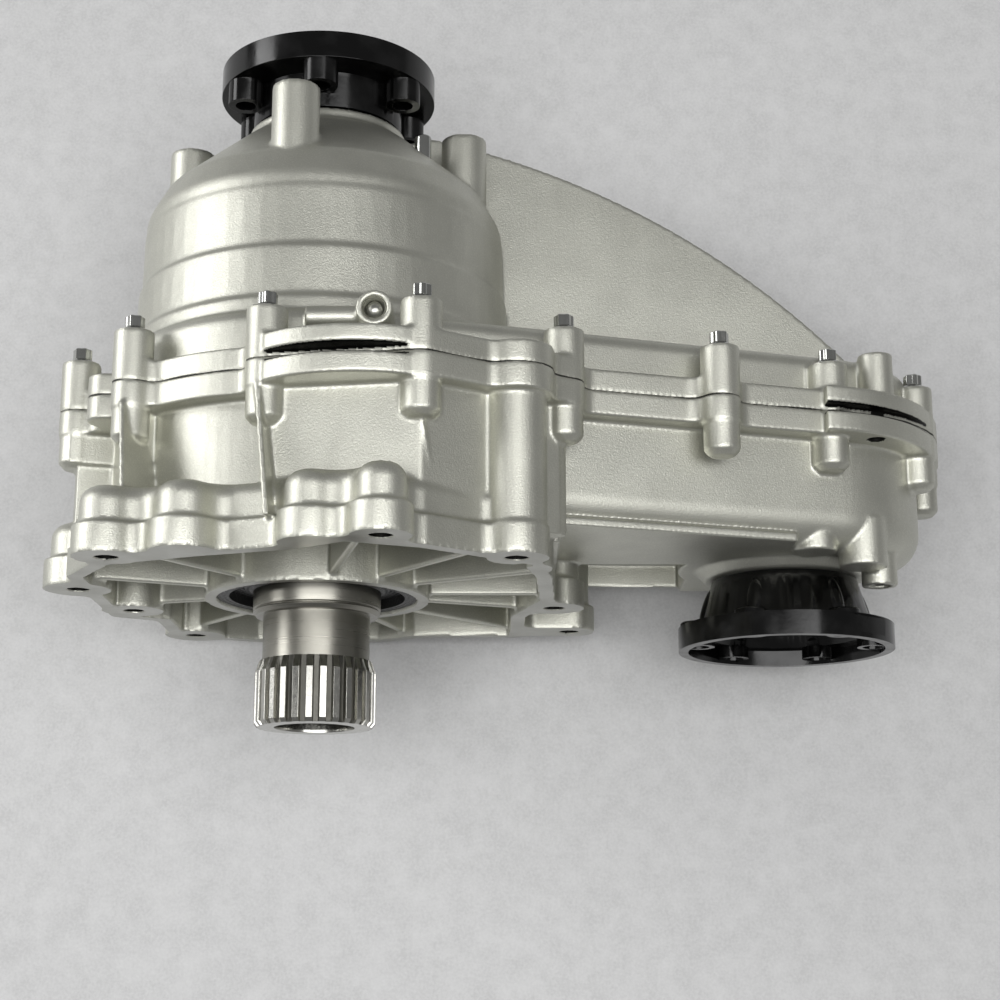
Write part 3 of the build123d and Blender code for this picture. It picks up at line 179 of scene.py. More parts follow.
class CastingSettings(bpy.types.PropertyGroup):
    """Sizes and colours of the two cast halves of the case."""
    grain: bpy.props.FloatProperty(
        name="Casting grain", description="Spacing of the blasted surface's grain",
        default=0.8 * MM, min=0.0001, unit="LENGTH")
    voxel: bpy.props.FloatProperty(
        name="Casting detail", description="Size of the smallest edge kept on the castings",
        default=0.9 * MM, min=0.0005, unit="LENGTH")
    smoothing: bpy.props.IntProperty(
        name="Casting fillets",
        description="How often the castings' edges are relaxed into fillets", default=2, min=0)
    colour: bpy.props.StringProperty(
        name="Casting colour", description="Blasted aluminium as an sRGB hex value",
        default="#C5C5BB")
    machined: bpy.props.StringProperty(
        name="Machined colour", description="Machined aluminium as an sRGB hex value",
        default="#B9B9B2")
    joint: bpy.props.FloatProperty(
        name="Joint line", description="Height of the sealant line between the halves",
        default=0.45 * MM, unit="LENGTH")


class HardwareSettings(bpy.types.PropertyGroup):
    """Sizes and colours of bolts, shafts and flanges."""
    bolt_lobe: bpy.props.FloatProperty(
        name="Bolt head radius", description="Radius over the lobes of the six-lobed heads",
        default=4.7 * MM, unit="LENGTH")
    bolt_flange: bpy.props.FloatProperty(
        name="Bolt flange radius", description="Radius of the flange under the bolt heads",
        default=6.4 * MM, unit="LENGTH")
    ball: bpy.props.FloatProperty(
        name="Plug ball radius", description="Radius of the ball in the oil gallery's plug",
        default=4.3 * MM, unit="LENGTH")
    edge: bpy.props.FloatProperty(
        name="Edge break", description="Width of the broken edges on turned parts",
        default=0.5 * MM, unit="LENGTH")
    zinc: bpy.props.StringProperty(
        name="Zinc colour", description="Bright zinc plate as an sRGB hex value", default="#BFC0BC")
    steel: bpy.props.StringProperty(
        name="Steel colour", description="Ground steel as an sRGB hex value", default="#BDBCB6")
    turned: bpy.props.StringProperty(
        name="Turned steel colour", description="Turned steel as an sRGB hex value",
        default="#98968E")
    black: bpy.props.StringProperty(
        name="Flange colour", description="Black flange paint as an sRGB hex value",
        default="#050505")
    rubber: bpy.props.StringProperty(
        name="Seal colour", description="Nitrile rubber as an sRGB hex value", default="#080808")


class StageSettings(bpy.types.PropertyGroup):
    """Floor and lamps."""
    floor: bpy.props.StringProperty(
        name="Floor colour", description="Pale floor as an sRGB hex value", default="#CDCDCD")
    key: bpy.props.FloatProperty(
        name="Key lamp", description="Power of the low soft lamp on the left", default=34.0,
        unit="POWER")
    fill: bpy.props.FloatProperty(
        name="Fill lamp", description="Power of the soft lamp overhead", default=30.0, unit="POWER")
    sky: bpy.props.FloatProperty(
        name="Sky", description="Strength of the light from all round", default=0.22)


def linear(hex_colour):
    """Linear colour of an sRGB hex value."""
    channels = [int(hex_colour[i:i + 2], 16) / 255 for i in (1, 3, 5)]
    return [c / 12.92 if c <= 0.04045 else ((c + 0.055) / 1.055) ** 2.4 for c in channels] + [1.0]


def shaded(colour, share):
    """Colour made darker or paler by a share, up to white."""
    return [min(1.0, c * share) for c in colour[:3]] + [1.0]


def dusty(colour):
    """Dark colour under a thin film of dust."""
    return [c + 0.004 for c in colour[:3]] + [1.0]


def add_node(tree, kind, settings=None, links=None, **values):
    """Add a shader node with its settings, its links and its socket values, _6 for socket 6."""
    node = tree.nodes.new(kind)
    for name, value in (settings or {}).items():
        setattr(node, name, value)
    for name, value in values.items():
        key = int(name[1:]) if name[1:].isdigit() else name.replace("_", " ")
        node.inputs[key].default_value = value
    for name, source in (links or {}).items():
        tree.links.new(source, node.inputs[name])
    return node


def new_material(name):
    """Empty node material with its output, and the object's own coordinates."""
    material = bpy.data.materials.new(name)
    material.use_nodes = True
    tree = material.node_tree
    tree.nodes.clear()
    output = add_node(tree, "ShaderNodeOutputMaterial")
    place = add_node(tree, "ShaderNodeTexCoord").outputs["Object"]
    return material, tree, output, place


def finish_surface(tree, output, links, height, strength, depth, **values):
    """Join a shader with these links and values, its skin raised by a height, to the output."""
    bump = add_node(tree, "ShaderNodeBump", links={"Height": height}, Strength=strength,
                    Distance=depth)
    shader = add_node(tree, "ShaderNodeBsdfPrincipled",
                      links={"Normal": bump.outputs["Normal"], **links}, **values)
    tree.links.new(shader.outputs["BSDF"], output.inputs["Surface"])


def cloudy_tone(tree, place, size, pale, share):
    """Metal's colour, darkened by a share in clouds of a size, and the clouds themselves."""
    clouds = add_node(tree, "ShaderNodeTexNoise", links={"Vector": place}, Scale=1 / size,
                      Detail=3.0, Roughness=0.5).outputs["Fac"]
    tone = add_node(tree, "ShaderNodeMix", {"data_type": "RGBA"}, {0: clouds}, _6=pale,
                    _7=shaded(pale, share))
    return tone.outputs[2], clouds


def cast_aluminium(settings):
    """Shot-blasted cast aluminium: warm satin grey with a fine sparkling grain and cloudy tone, and
    painted shade in the pry slots.
    """
    material, tree, output, place = new_material("shot_blasted_cast_aluminium")
    pale = linear(settings.colour)
    clouds = add_node(tree, "ShaderNodeTexNoise", links={"Vector": place}, Scale=1 / (25 * MM),
                      Detail=4.0, Roughness=0.5)
    cloudy = add_node(tree, "ShaderNodeMapRange", links={"Value": clouds.outputs["Fac"]},
                      From_Min=0.35, From_Max=0.65, To_Min=0.0, To_Max=0.7)
    tone = add_node(tree, "ShaderNodeMix", {"data_type": "RGBA"}, {0: cloudy.outputs["Result"]},
                    _6=pale, _7=shaded(pale, 0.86))
    # the blasting leaves dimples of about half a millimetre, drawn a little coarser so that
    # they show
    grain = add_node(tree, "ShaderNodeTexNoise", links={"Vector": place},
                     Scale=1 / settings.grain, Detail=3.0, Roughness=0.7).outputs["Fac"]
    speck = add_node(tree, "ShaderNodeMapRange", links={"Value": grain}, From_Min=0.5,
                     From_Max=0.8, To_Min=0.0, To_Max=0.4)
    sparkle = add_node(tree, "ShaderNodeMix", {"data_type": "RGBA"},
                       {0: speck.outputs["Result"], 6: tone.outputs[2]}, _7=shaded(pale, 1.5))
    # sealant darkens the line where the halves meet, here and there broken by smears
    level = add_node(tree, "ShaderNodeSeparateXYZ", links={0: place}).outputs["Y"]
    smear = add_node(tree, "ShaderNodeTexNoise", links={"Vector": place}, Scale=1 / (20 * MM),
                     Detail=2.0, Roughness=0.5)
    width = add_node(tree, "ShaderNodeMapRange", links={"Value": smear.outputs["Fac"]},
                     From_Min=0.42, From_Max=0.66, To_Min=0.15 * settings.joint,
                     To_Max=settings.joint)
    line = add_node(tree, "ShaderNodeMath", {"operation": "COMPARE"},
                    {0: level, 2: width.outputs["Result"]}, _1=SPLIT)
    sealed = add_node(tree, "ShaderNodeMix", {"data_type": "RGBA"},
                      {0: line.outputs["Value"], 6: sparkle.outputs[2]}, _7=linear("#4A4A46"))
    # the pry slots are painted black: mostly painted shade, where little light gets in, and partly
    # their sealant
    slot_shade_attribute = add_node(tree, "ShaderNodeAttribute", {"attribute_name": "slot_shade"})
    spread = add_node(tree, "ShaderNodeMapRange", links={"Value": slot_shade_attribute.outputs["Fac"]},
                      From_Min=0.15, From_Max=0.6, To_Min=0.0, To_Max=1.0)
    shaded_slots = add_node(tree, "ShaderNodeMix", {"data_type": "RGBA"},
                       {0: spread.outputs["Result"], 6: sealed.outputs[2]},
                       _7=linear("#0C0C0B"))
    sheen = add_node(tree, "ShaderNodeMapRange", links={"Value": grain}, From_Min=0.35,
                     From_Max=0.7, To_Min=0.46, To_Max=0.34)
    finish_surface(tree, output,
                   {"Base Color": shaded_slots.outputs[2], "Roughness": sheen.outputs["Result"]},
                   grain, 0.42, 0.4 * MM, Metallic=0.9)
    return material


def milled_aluminium(settings):
    """Milled aluminium: flat grey with close cutter marks."""
    material, tree, output, place = new_material("milled_aluminium")
    # slanted bands lie 0.363 / Scale metres apart: the cutter leaves a mark about every 2 mm
    marks = add_node(tree, "ShaderNodeTexWave",
                     {"wave_type": "BANDS", "bands_direction": "DIAGONAL"}, {"Vector": place},
                     Scale=180.0, Distortion=1.5, Detail=1.0)
    colour, clouds = cloudy_tone(tree, place, 20 * MM, linear(settings.machined), 0.8)
    sheen = add_node(tree, "ShaderNodeMapRange", links={"Value": clouds}, From_Min=0.35,
                     From_Max=0.65, To_Min=0.30, To_Max=0.42)
    finish_surface(tree, output, {"Base Color": colour, "Roughness": sheen.outputs["Result"]},
                   marks.outputs["Fac"], 0.06, 0.2 * MM, Metallic=1.0)
    return material


def plated_metal(name, hex_colour, low, high, mark_size=1.6 * MM):
    """Bright metal with faint cloudy tone and fine marks."""
    material, tree, output, place = new_material(name)
    colour = cloudy_tone(tree, place, 8 * MM, linear(hex_colour), 0.72)[0]
    marks = add_node(tree, "ShaderNodeTexNoise", links={"Vector": place}, Scale=1 / mark_size,
                     Detail=2.0, Roughness=0.6).outputs["Fac"]
    sheen = add_node(tree, "ShaderNodeMapRange", links={"Value": marks}, From_Min=0.35,
                     From_Max=0.65, To_Min=low, To_Max=high)
    finish_surface(tree, output, {"Base Color": colour, "Roughness": sheen.outputs["Result"]},
                   marks, 0.05, 0.2 * MM, Metallic=1.0)
    return material


def turned_steel(settings):
    """Turned steel: grey with fine rings round the shaft's axis that stretch its highlights."""
    material, tree, output, place = new_material("turned_alloy_steel")
    # the tool leaves a ring every 0.1 mm, drawn every 0.5 mm so that they show, and hardly
    # changing across the shaft
    stretch = add_node(tree, "ShaderNodeMapping", links={"Vector": place},
                       Scale=(6.0, 1 / (0.5 * MM), 6.0))
    rings = add_node(tree, "ShaderNodeTexNoise", links={"Vector": stretch.outputs["Vector"]},
                     Scale=1.0, Detail=2.0, Roughness=0.6).outputs["Fac"]
    colour = cloudy_tone(tree, place, 12 * MM, linear(settings.turned), 0.78)[0]
    sheen = add_node(tree, "ShaderNodeMapRange", links={"Value": rings}, From_Min=0.35,
                     From_Max=0.65, To_Min=0.26, To_Max=0.38)
    finish_surface(tree, output, {"Base Color": colour, "Roughness": sheen.outputs["Result"]},
                   rings, 0.08, 0.1 * MM, Metallic=1.0)
    return material


def flange_paint(settings):
    """Gloss black paint over forged steel: deep black with a slight orange-peel skin."""
    material, tree, output, place = new_material("gloss_black_flange_paint")
    peel = add_node(tree, "ShaderNodeTexNoise", links={"Vector": place}, Scale=1 / (2.2 * MM),
                    Detail=2.0, Roughness=0.5)
    dust = add_node(tree, "ShaderNodeTexNoise", links={"Vector": place}, Scale=1 / (12 * MM),
                    Detail=4.0, Roughness=0.5).outputs["Fac"]
    black = linear(settings.black)
    film = add_node(tree, "ShaderNodeMapRange", links={"Value": dust}, From_Min=0.5,
                    From_Max=0.7, To_Min=0.0, To_Max=1.0)
    colour = add_node(tree, "ShaderNodeMix", {"data_type": "RGBA"}, {0: film.outputs["Result"]},
                      _6=black, _7=dusty(black))
    sheen = add_node(tree, "ShaderNodeMapRange", links={"Value": dust}, From_Min=0.35,
                     From_Max=0.65, To_Min=0.13, To_Max=0.24)
    finish_surface(tree, output,
                   {"Base Color": colour.outputs[2], "Roughness": sheen.outputs["Result"]},
                   peel.outputs["Fac"], 0.05, 0.4 * MM, IOR=1.38)
    return material


def nitrile_rubber(settings):
    """Moulded nitrile rubber: dull black with a soft sheen and the mould's rings."""
    material, tree, output, place = new_material("moulded_nitrile_rubber")
    skin = add_node(tree, "ShaderNodeTexNoise", links={"Vector": place}, Scale=1 / (1.5 * MM),
                    Detail=3.0, Roughness=0.5).outputs["Fac"]
    # rings lie 0.314 / Scale metres apart: the seal's lips leave one about every 2.5 mm
    rings = add_node(tree, "ShaderNodeTexWave", {"wave_type": "RINGS", "rings_direction": "Y"},
                     {"Vector": place}, Scale=125.0)
    height = add_node(tree, "ShaderNodeMath", {"operation": "MULTIPLY_ADD"},
                      {0: rings.outputs["Fac"], 2: skin}, _1=2.0)
    black = linear(settings.rubber)
    colour = add_node(tree, "ShaderNodeMix", {"data_type": "RGBA"}, {0: skin}, _6=black,
                      _7=dusty(black))
    sheen = add_node(tree, "ShaderNodeMapRange", links={"Value": skin}, From_Min=0.35,
                     From_Max=0.65, To_Min=0.34, To_Max=0.5)
    finish_surface(tree, output,
                   {"Base Color": colour.outputs[2], "Roughness": sheen.outputs["Result"]},
                   height.outputs["Value"], 0.6, 0.3 * MM, IOR=1.45)
    return material


def floor_paint(settings):
    """Pale laminate floor with a fine grain and faint mottling."""
    material, tree, output, place = new_material("pale_laminate_floor")
    clouds = add_node(tree, "ShaderNodeTexNoise", links={"Vector": place}, Scale=1 / (12 * MM),
                      Detail=4.0, Roughness=0.6)
    grain = add_node(tree, "ShaderNodeTexNoise", links={"Vector": place}, Scale=1 / (1.6 * MM),
                     Detail=2.0, Roughness=0.6).outputs["Fac"]
    mottle = add_node(tree, "ShaderNodeMath", {"operation": "MULTIPLY"},
                      {0: clouds.outputs["Fac"], 1: grain})
    patches = add_node(tree, "ShaderNodeMapRange", links={"Value": mottle.outputs["Value"]},
                       From_Min=0.1, From_Max=0.4, To_Min=0.0, To_Max=1.0)
    pale = linear(settings.floor)
    colour = add_node(tree, "ShaderNodeMix", {"data_type": "RGBA"},
                      {0: patches.outputs["Result"]}, _6=pale, _7=shaded(pale, 0.84))
    finish_surface(tree, output, {"Base Color": colour.outputs[2]}, grain, 0.05, 0.5 * MM,
                   Roughness=0.6, IOR=1.45)
    return material


FINISHES = {}


def made_finish(name):
    """Finish of that name, made when it is first asked for."""
    if name not in FINISHES:
        casting = bpy.context.scene.transfer_casting
        hardware = bpy.context.scene.transfer_hardware
        makers = {
            "cast": lambda: cast_aluminium(casting),
            "milled": lambda: milled_aluminium(casting),
            # walls of the drilled holes, painted dark as shade in the recess
            "bore_shade": lambda: plated_metal("drilled_aluminium_painted_bore_shade", "#262624", 0.5, 0.7),
            "zinc": lambda: plated_metal("bright_zinc_plated_steel", hardware.zinc, 0.14, 0.2,
                                         4 * MM),
            "turned": lambda: turned_steel(hardware),
            "steel": lambda: plated_metal("ground_alloy_steel", hardware.steel, 0.16, 0.26),
            # the grooves keep the dull dark skin of hardening, and their dark colour also stands in
            # for painted shade in the grooves; only the tips are ground
            "hobbed_and_groove_shade": lambda: plated_metal("hardened_steel_with_painted_groove_shade", "#5C5B56", 0.3, 0.45),
            "bearing": lambda: plated_metal("polished_bearing_steel", "#B9BABB", 0.12, 0.2),
            "spring": lambda: plated_metal("blackened_spring_steel", "#3A3A3A", 0.3, 0.5),
            "bronze": lambda: plated_metal("sintered_bronze", "#A9813F", 0.35, 0.5),
            "black": lambda: flange_paint(hardware),
            "rubber": lambda: nitrile_rubber(hardware),
            "floor": lambda: floor_paint(bpy.context.scene.transfer_stage),
        }
        FINISHES[name] = makers[name]()
    return FINISHES[name]


def give(piece, *names):
    """Give a piece its finishes, the first one everywhere."""
    piece.data.materials.clear()
    for name in names:
        piece.data.materials.append(made_finish(name))
    for polygon in piece.data.polygons:
        polygon.material_index = 0


def select_only(*pieces):
    """Select these objects and nothing else, the first one active."""
    bpy.ops.object.select_all(action="DESELECT")
    for piece in pieces:
        piece.select_set(True)
    bpy.context.view_layer.objects.active = pieces[0]


def edit(piece):
    """Go into edit mode on one piece with nothing of its mesh selected."""
    select_only(piece)
    bpy.ops.object.mode_set(mode="EDIT")
    bpy.ops.mesh.select_mode(type="FACE")
    bpy.ops.mesh.select_all(action="DESELECT")


def leave():
    """Leave edit mode."""
    bpy.ops.object.mode_set(mode="OBJECT")


def pick_faces(piece, test):
    """Select in edit mode the faces that pass a test."""
    mesh = bmesh.from_edit_mesh(piece.data)
    for face in mesh.faces:
        face.select = test(face)
    mesh.select_flush_mode()
    bmesh.update_edit_mesh(piece.data)


def extrude(rise, share, centre=(0, 0, 0)):
    """Extrude the picked faces along the shafts and draw them in by a share round a centre."""
    bpy.ops.mesh.extrude_region_move(TRANSFORM_OT_translate={"value": (0, rise, 0)})
    bpy.ops.transform.resize(value=(share, 1, share), center_override=centre)


def close_up():
    """Turn all faces of the mesh in edit mode outwards and leave it."""
    bpy.ops.mesh.select_all(action="SELECT")
    bpy.ops.mesh.normals_make_consistent(inside=False)
    leave()


def settled():
    """New primitive, once its place, turn and scale are put into its mesh."""
    bpy.ops.object.transform_apply(location=True, rotation=True, scale=True)
    return bpy.context.object


def use_modifier(piece, kind, **settings):
    """Add a modifier and apply it."""
    select_only(piece)
    modifier = piece.modifiers.new(kind.lower(), kind)
    for name, value in settings.items():
        setattr(modifier, name, value)
    bpy.ops.object.modifier_apply(modifier=modifier.name)


def merge_flats(piece):
    """Merge the triangles of each flat face."""
    use_modifier(piece, "DECIMATE", decimate_type="DISSOLVE",
                 angle_limit=math.radians(FLAT_ANGLE))


def break_edges(piece, width, degrees):
    """Break the edges where faces meet at more than an angle."""
    use_modifier(piece, "BEVEL", width=width, segments=2, limit_method="ANGLE",
                 angle_limit=math.radians(degrees), use_clamp_overlap=True)


def smooth(piece, degrees):
    """Shade a piece smooth, with the edges past an angle kept sharp."""
    select_only(piece)
    bpy.ops.object.shade_smooth_by_angle(angle=math.radians(degrees))


def copy_node(node, name):
    """Merged copy of a CAD node as a new piece."""
    piece = bpy.data.objects.new(name, frame["nodes"][node].data.copy())
    bpy.context.scene.collection.objects.link(piece)
    edit(piece)
    bpy.ops.mesh.select_all(action="SELECT")
    bpy.ops.mesh.remove_doubles(threshold=MERGE_REACH)
    leave()
    return piece


def hand_over(piece, node, body):
    """Let a piece ride on a body in a CAD node's stead."""
    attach(piece, body)
    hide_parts(node)


def cast_piece(node, name):
    """Copy of a casting with its edges relaxed into fillets and its machined faces kept flat."""
    settings = bpy.context.scene.transfer_casting
    piece = copy_node(node, name)
    use_modifier(piece, "REMESH", mode="VOXEL", voxel_size=settings.voxel, adaptivity=0.0)
    mesh = piece.data
    flat = {}
    for vertex in mesh.vertices:
        for level in MACHINED_LEVELS:
            if abs(vertex.co.y - level) < FACE_SKIN:
                flat[vertex.index] = level
    use_modifier(piece, "CORRECTIVE_SMOOTH", iterations=settings.smoothing, factor=0.5,
                 smooth_type="SIMPLE", use_only_smooth=True)
    for index, level in flat.items():
        mesh.vertices[index].co.y = level
    return piece


def finish_castings(piece):
    """Give a casting its blasted skin, its machined faces, and painted shade in its bores and its
    slots.
    """
    bores = [(mount["pos_m"][0], mount["pos_m"][2], mount["dims"]["r_mm"] * MM,
              BORE_START, BORE_END)
             for mount in frame["record"]["mounts"] if mount["name"].startswith("bolt_hole")]
    bores.append(END_EAR_BORE)
    give(piece, "cast", "milled", "bore_shade")
    for polygon in piece.data.polygons:
        x, level, z = polygon.center
        nearest = min(abs(level - height) for height in MACHINED_LEVELS)
        if abs(polygon.normal.y) > FACE_LEAN and nearest < FACE_SKIN:
            polygon.material_index = 1
        # the walls of the drilled holes get the dark finish, which is painted shade
        for bore_x, bore_z, radius, start, stop in bores:
            reach = math.hypot(x - bore_x, z - bore_z)
            if start < level < stop and reach < radius + BORE_SKIN:
                polygon.material_index = 2
    # the slots' painted shade is kept on the vertices, so that its border fades
    slot_shade_attribute = piece.data.attributes.new("slot_shade", "FLOAT", "POINT")
    for vertex in piece.data.vertices:
        # vertices on the slots' walls get full painted shade
        in_slot = SLOT_SKIN < abs(vertex.co.y - SPLIT) < SLOT_HALF + FACE_SKIN
        if in_slot and abs(vertex.normal.y) > SLOT_LEAN:
            slot_shade_attribute.data[vertex.index].value = 1.0


class TRANSFER_OT_castings(bpy.types.Operator):
    """Make the two cast halves of the case with fillets, blasted skin and machined faces"""
    bl_idname = "transfer.castings"
    bl_label = "Castings"

    def execute(self, context):
        for node, name in (("front_housing", "front_case_casting"),
                           ("rear_housing", "rear_case_casting")):
            piece = cast_piece(node, name)
            triangles = sum(len(polygon.vertices) - 2 for polygon in piece.data.polygons)
            if triangles > 2 * MOST_TRIANGLES:
                use_modifier(piece, "DECIMATE", decimate_type="COLLAPSE",
                             ratio=2 * MOST_TRIANGLES / triangles)
            finish_castings(piece)
            smooth(piece, CASTING_SHARP)
            # half of the triangles at each end, so that no piece is thinned when it is exported
            places = sorted(polygon.center.x for polygon in piece.data.polygons)
            middle = places[len(places) // 2]
            edit(piece)
            pick_faces(piece, lambda face: face.calc_center_median().x > middle)
            bpy.ops.mesh.separate(type="SELECTED")
            leave()
            for half in list(bpy.context.selected_objects):
                half.name = name if half == piece else name + "_chain_end"
                hand_over(half, node, "case")
        return {"FINISHED"}


def bolt_places():
    """Places of the case bolts, read from the CAD solids."""
    piece = copy_node("case_bolts", "bolt_guide")
    edit(piece)
    bpy.ops.mesh.select_all(action="SELECT")
    bpy.ops.mesh.separate(type="LOOSE")
    leave()
    parts = list(bpy.context.selected_objects)
    places = []
    for part in parts:
        xs = [vertex.co.x for vertex in part.data.vertices]
        zs = [vertex.co.z for vertex in part.data.vertices]
        places.append(((min(xs) + max(xs)) / 2, (min(zs) + max(zs)) / 2))
    for part in parts:
        bpy.data.objects.remove(part)
    return sorted(places)


def bolt_pattern_piece():
    """One case bolt at the origin, its head towards +Y and its seat at the origin's level."""
    settings = bpy.context.scene.transfer_hardware
    bpy.ops.object.select_all(action="DESELECT")
    bpy.ops.mesh.primitive_circle_add(vertices=BOLT_LOBES * POINTS_PER_LOBE,
                                      radius=settings.bolt_flange, fill_type="NGON",
                                      rotation=(math.radians(-90), 0, 0))
    piece = settled()
    piece.name = "case_bolt_pattern"
    edit(piece)
    bpy.ops.mesh.select_all(action="SELECT")
    level = 0.0
    width = settings.bolt_flange
    for rise, share in BOLT_FLANGE_STEPS:
        extrude(rise, share)
        level += rise
        width *= share
    extrude(HEAD_FOOT, settings.bolt_lobe / width)
    bpy.ops.mesh.extrude_region_move(TRANSFORM_OT_translate={"value": (0, HEAD_HEIGHT, 0)})
    leave()
    for vertex in piece.data.vertices:
        if vertex.co.y > level + ON_LEVEL:
            turn = math.atan2(vertex.co.z, vertex.co.x)
            share = 1 - LOBE_DEPTH * (1 - math.cos(BOLT_LOBES * turn))
            vertex.co.x *= share
            vertex.co.z *= share
    edit(piece)
    top = level + HEAD_FOOT + HEAD_HEIGHT
    pick_faces(piece, lambda face: all(abs(v.co.y - top) < ON_LEVEL for v in face.verts))
    for rise, share in HEAD_TOP_STEPS:
        extrude(rise, share)
    close_up()
    return piece


class TRANSFER_OT_case_bolts(bpy.types.Operator):
    """Make the flanged case bolts with six-lobed heads on their seats"""
    bl_idname = "transfer.case_bolts"
    bl_label = "Case bolts"

    def execute(self, context):
        pattern = bolt_pattern_piece()
        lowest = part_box("case_bolts")[0].y
        bpy.ops.object.select_all(action="DESELECT")
        bpy.ops.mesh.primitive_cylinder_add(vertices=24, radius=SHANK_RADIUS,
                                            depth=BOLT_SEAT - lowest,
                                            location=(0, (lowest - BOLT_SEAT) / 2, 0),
                                            rotation=(math.radians(-90), 0, 0))
        shank = settled()
        select_only(pattern, shank)
        bpy.ops.object.join()
        copies = []
        for number, (x, z) in enumerate(bolt_places()):
            copy = bpy.data.objects.new(f"case_bolt_{number}", pattern.data.copy())
            context.scene.collection.objects.link(copy)
            copy.data.transform(Matrix.Translation((x, BOLT_SEAT, z))
                                @ Matrix.Rotation(math.radians(BOLT_TURN * number), 4, "Y"))
            copies.append(copy)
        bpy.data.objects.remove(pattern)
        select_only(*copies)
        bpy.ops.object.join()
        piece = bpy.context.object
        piece.name = "flanged_case_bolts"
        give(piece, "zinc")
        smooth(piece, BOLT_SHARP)
        hand_over(piece, "case_bolts", "case")
        return {"FINISHED"}


def cut_level(piece, level):
    """Cut an edge loop round a piece at a level along the shafts."""
    edit(piece)
    bpy.ops.mesh.select_all(action="SELECT")
    bpy.ops.mesh.bisect(plane_co=(0, level, 0), plane_no=(0, 1, 0))
    leave()


def draw_in(piece, low, high, outside, radius):
    """Bring the vertices between two levels that lie outside a radius in to another radius."""
    for vertex in piece.data.vertices:
        reach = math.hypot(vertex.co.x, vertex.co.z)
        if low < vertex.co.y < high and reach > outside:
            vertex.co.x *= radius / reach
            vertex.co.z *= radius / reach


def around(level):
    """Levels just below and just above a level."""
    return level - NEAR_LEVEL, level + NEAR_LEVEL


class TRANSFER_OT_input_shaft(bpy.types.Operator):
    """Make the splined input shaft with its chamfered teeth and its grooved collar"""
    bl_idname = "transfer.input_shaft"
    bl_label = "Input shaft"

    def execute(self, context):
        piece = copy_node("input_shaft", "splined_input_shaft")
        merge_flats(piece)
        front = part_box("input_shaft")[0].y
        for level in (front + TEETH_NOSE, TEETH_END - TEETH_RUNOUT):
            cut_level(piece, level)
        draw_in(piece, *around(TEETH_END), NOSE_RADIUS, GROUND_RADIUS)
        draw_in(piece, *around(front), NOSE_RADIUS, NOSE_RADIUS)
        groove = COLLAR_END + GROOVE_START
        floor_end = groove + GROOVE_FLOOR
        for level in (groove - GROOVE_FLANK, groove, floor_end, floor_end + GROOVE_FLANK):
            cut_level(piece, level)
        draw_in(piece, groove - NEAR_LEVEL, floor_end + NEAR_LEVEL, GROOVE_RADIUS, GROOVE_RADIUS)
        draw_in(piece, *around(COLLAR_END), GROOVE_RADIUS, COLLAR_EDGE)
        break_edges(piece, context.scene.transfer_hardware.edge * SHAFT_EDGE, SHAFT_BREAK)
        give(piece, "turned", "steel", "hobbed_and_groove_shade")
        for polygon in piece.data.polygons:
            if polygon.center.y < TEETH_END + 2 * NEAR_LEVEL:
                polygon.material_index = 1
        smooth(piece, TURNED_SHARP)
        for polygon in piece.data.polygons:
            reach = math.hypot(polygon.center.x, polygon.center.z)
            toothed = polygon.material_index == 1 and reach > BORE_RADIUS
            polygon.use_smooth = polygon.use_smooth and not toothed
            # walls and floors between the teeth get the dark groove finish: hardened skin and
            # painted shade
            if toothed and reach < GROUND_RADIUS and abs(polygon.normal.y) < TOOTH_LEAN:
                polygon.material_index = 2
        hand_over(piece, "input_shaft", "carrier_set")
        return {"FINISHED"}


def cut_away(piece, cutter):
    """Cut one piece away from another."""
    use_modifier(piece, "BOOLEAN", operation="DIFFERENCE", solver="EXACT", object=cutter)
    bpy.data.objects.remove(cutter)


def cup_place():
    """Centre and rim radius of the cup flange."""
    low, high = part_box("front_flange")
    return Vector(((low.x + high.x) / 2, 0, (low.z + high.z) / 2)), (high.x - low.x) / 2


def cup_cuts(piece):
    """Milled flat and drilling in the rim of the cup flange."""
    centre, rim = cup_place()
    bpy.ops.object.select_all(action="DESELECT")
    bpy.ops.mesh.primitive_cube_add(size=1, scale=FLAT_BLOCK,
                                    location=(rim + FLAT_BLOCK[0] / 2 - FLAT_DEPTH, FLAT_LEVEL, 0))
    flat = settled()
    flat.data.transform(Matrix.Translation(centre)
                        @ Matrix.Rotation(math.radians(FLAT_TURN), 4, "Y"))
    cut_away(piece, flat)
    bpy.ops.object.select_all(action="DESELECT")
    bpy.ops.mesh.primitive_cylinder_add(vertices=32, radius=DRILL_RADIUS, depth=DRILL_DEPTH,
                                        location=(centre.x + rim, DRILL_LEVEL, centre.z),
                                        rotation=(0, math.radians(90), 0))
    cut_away(piece, settled())


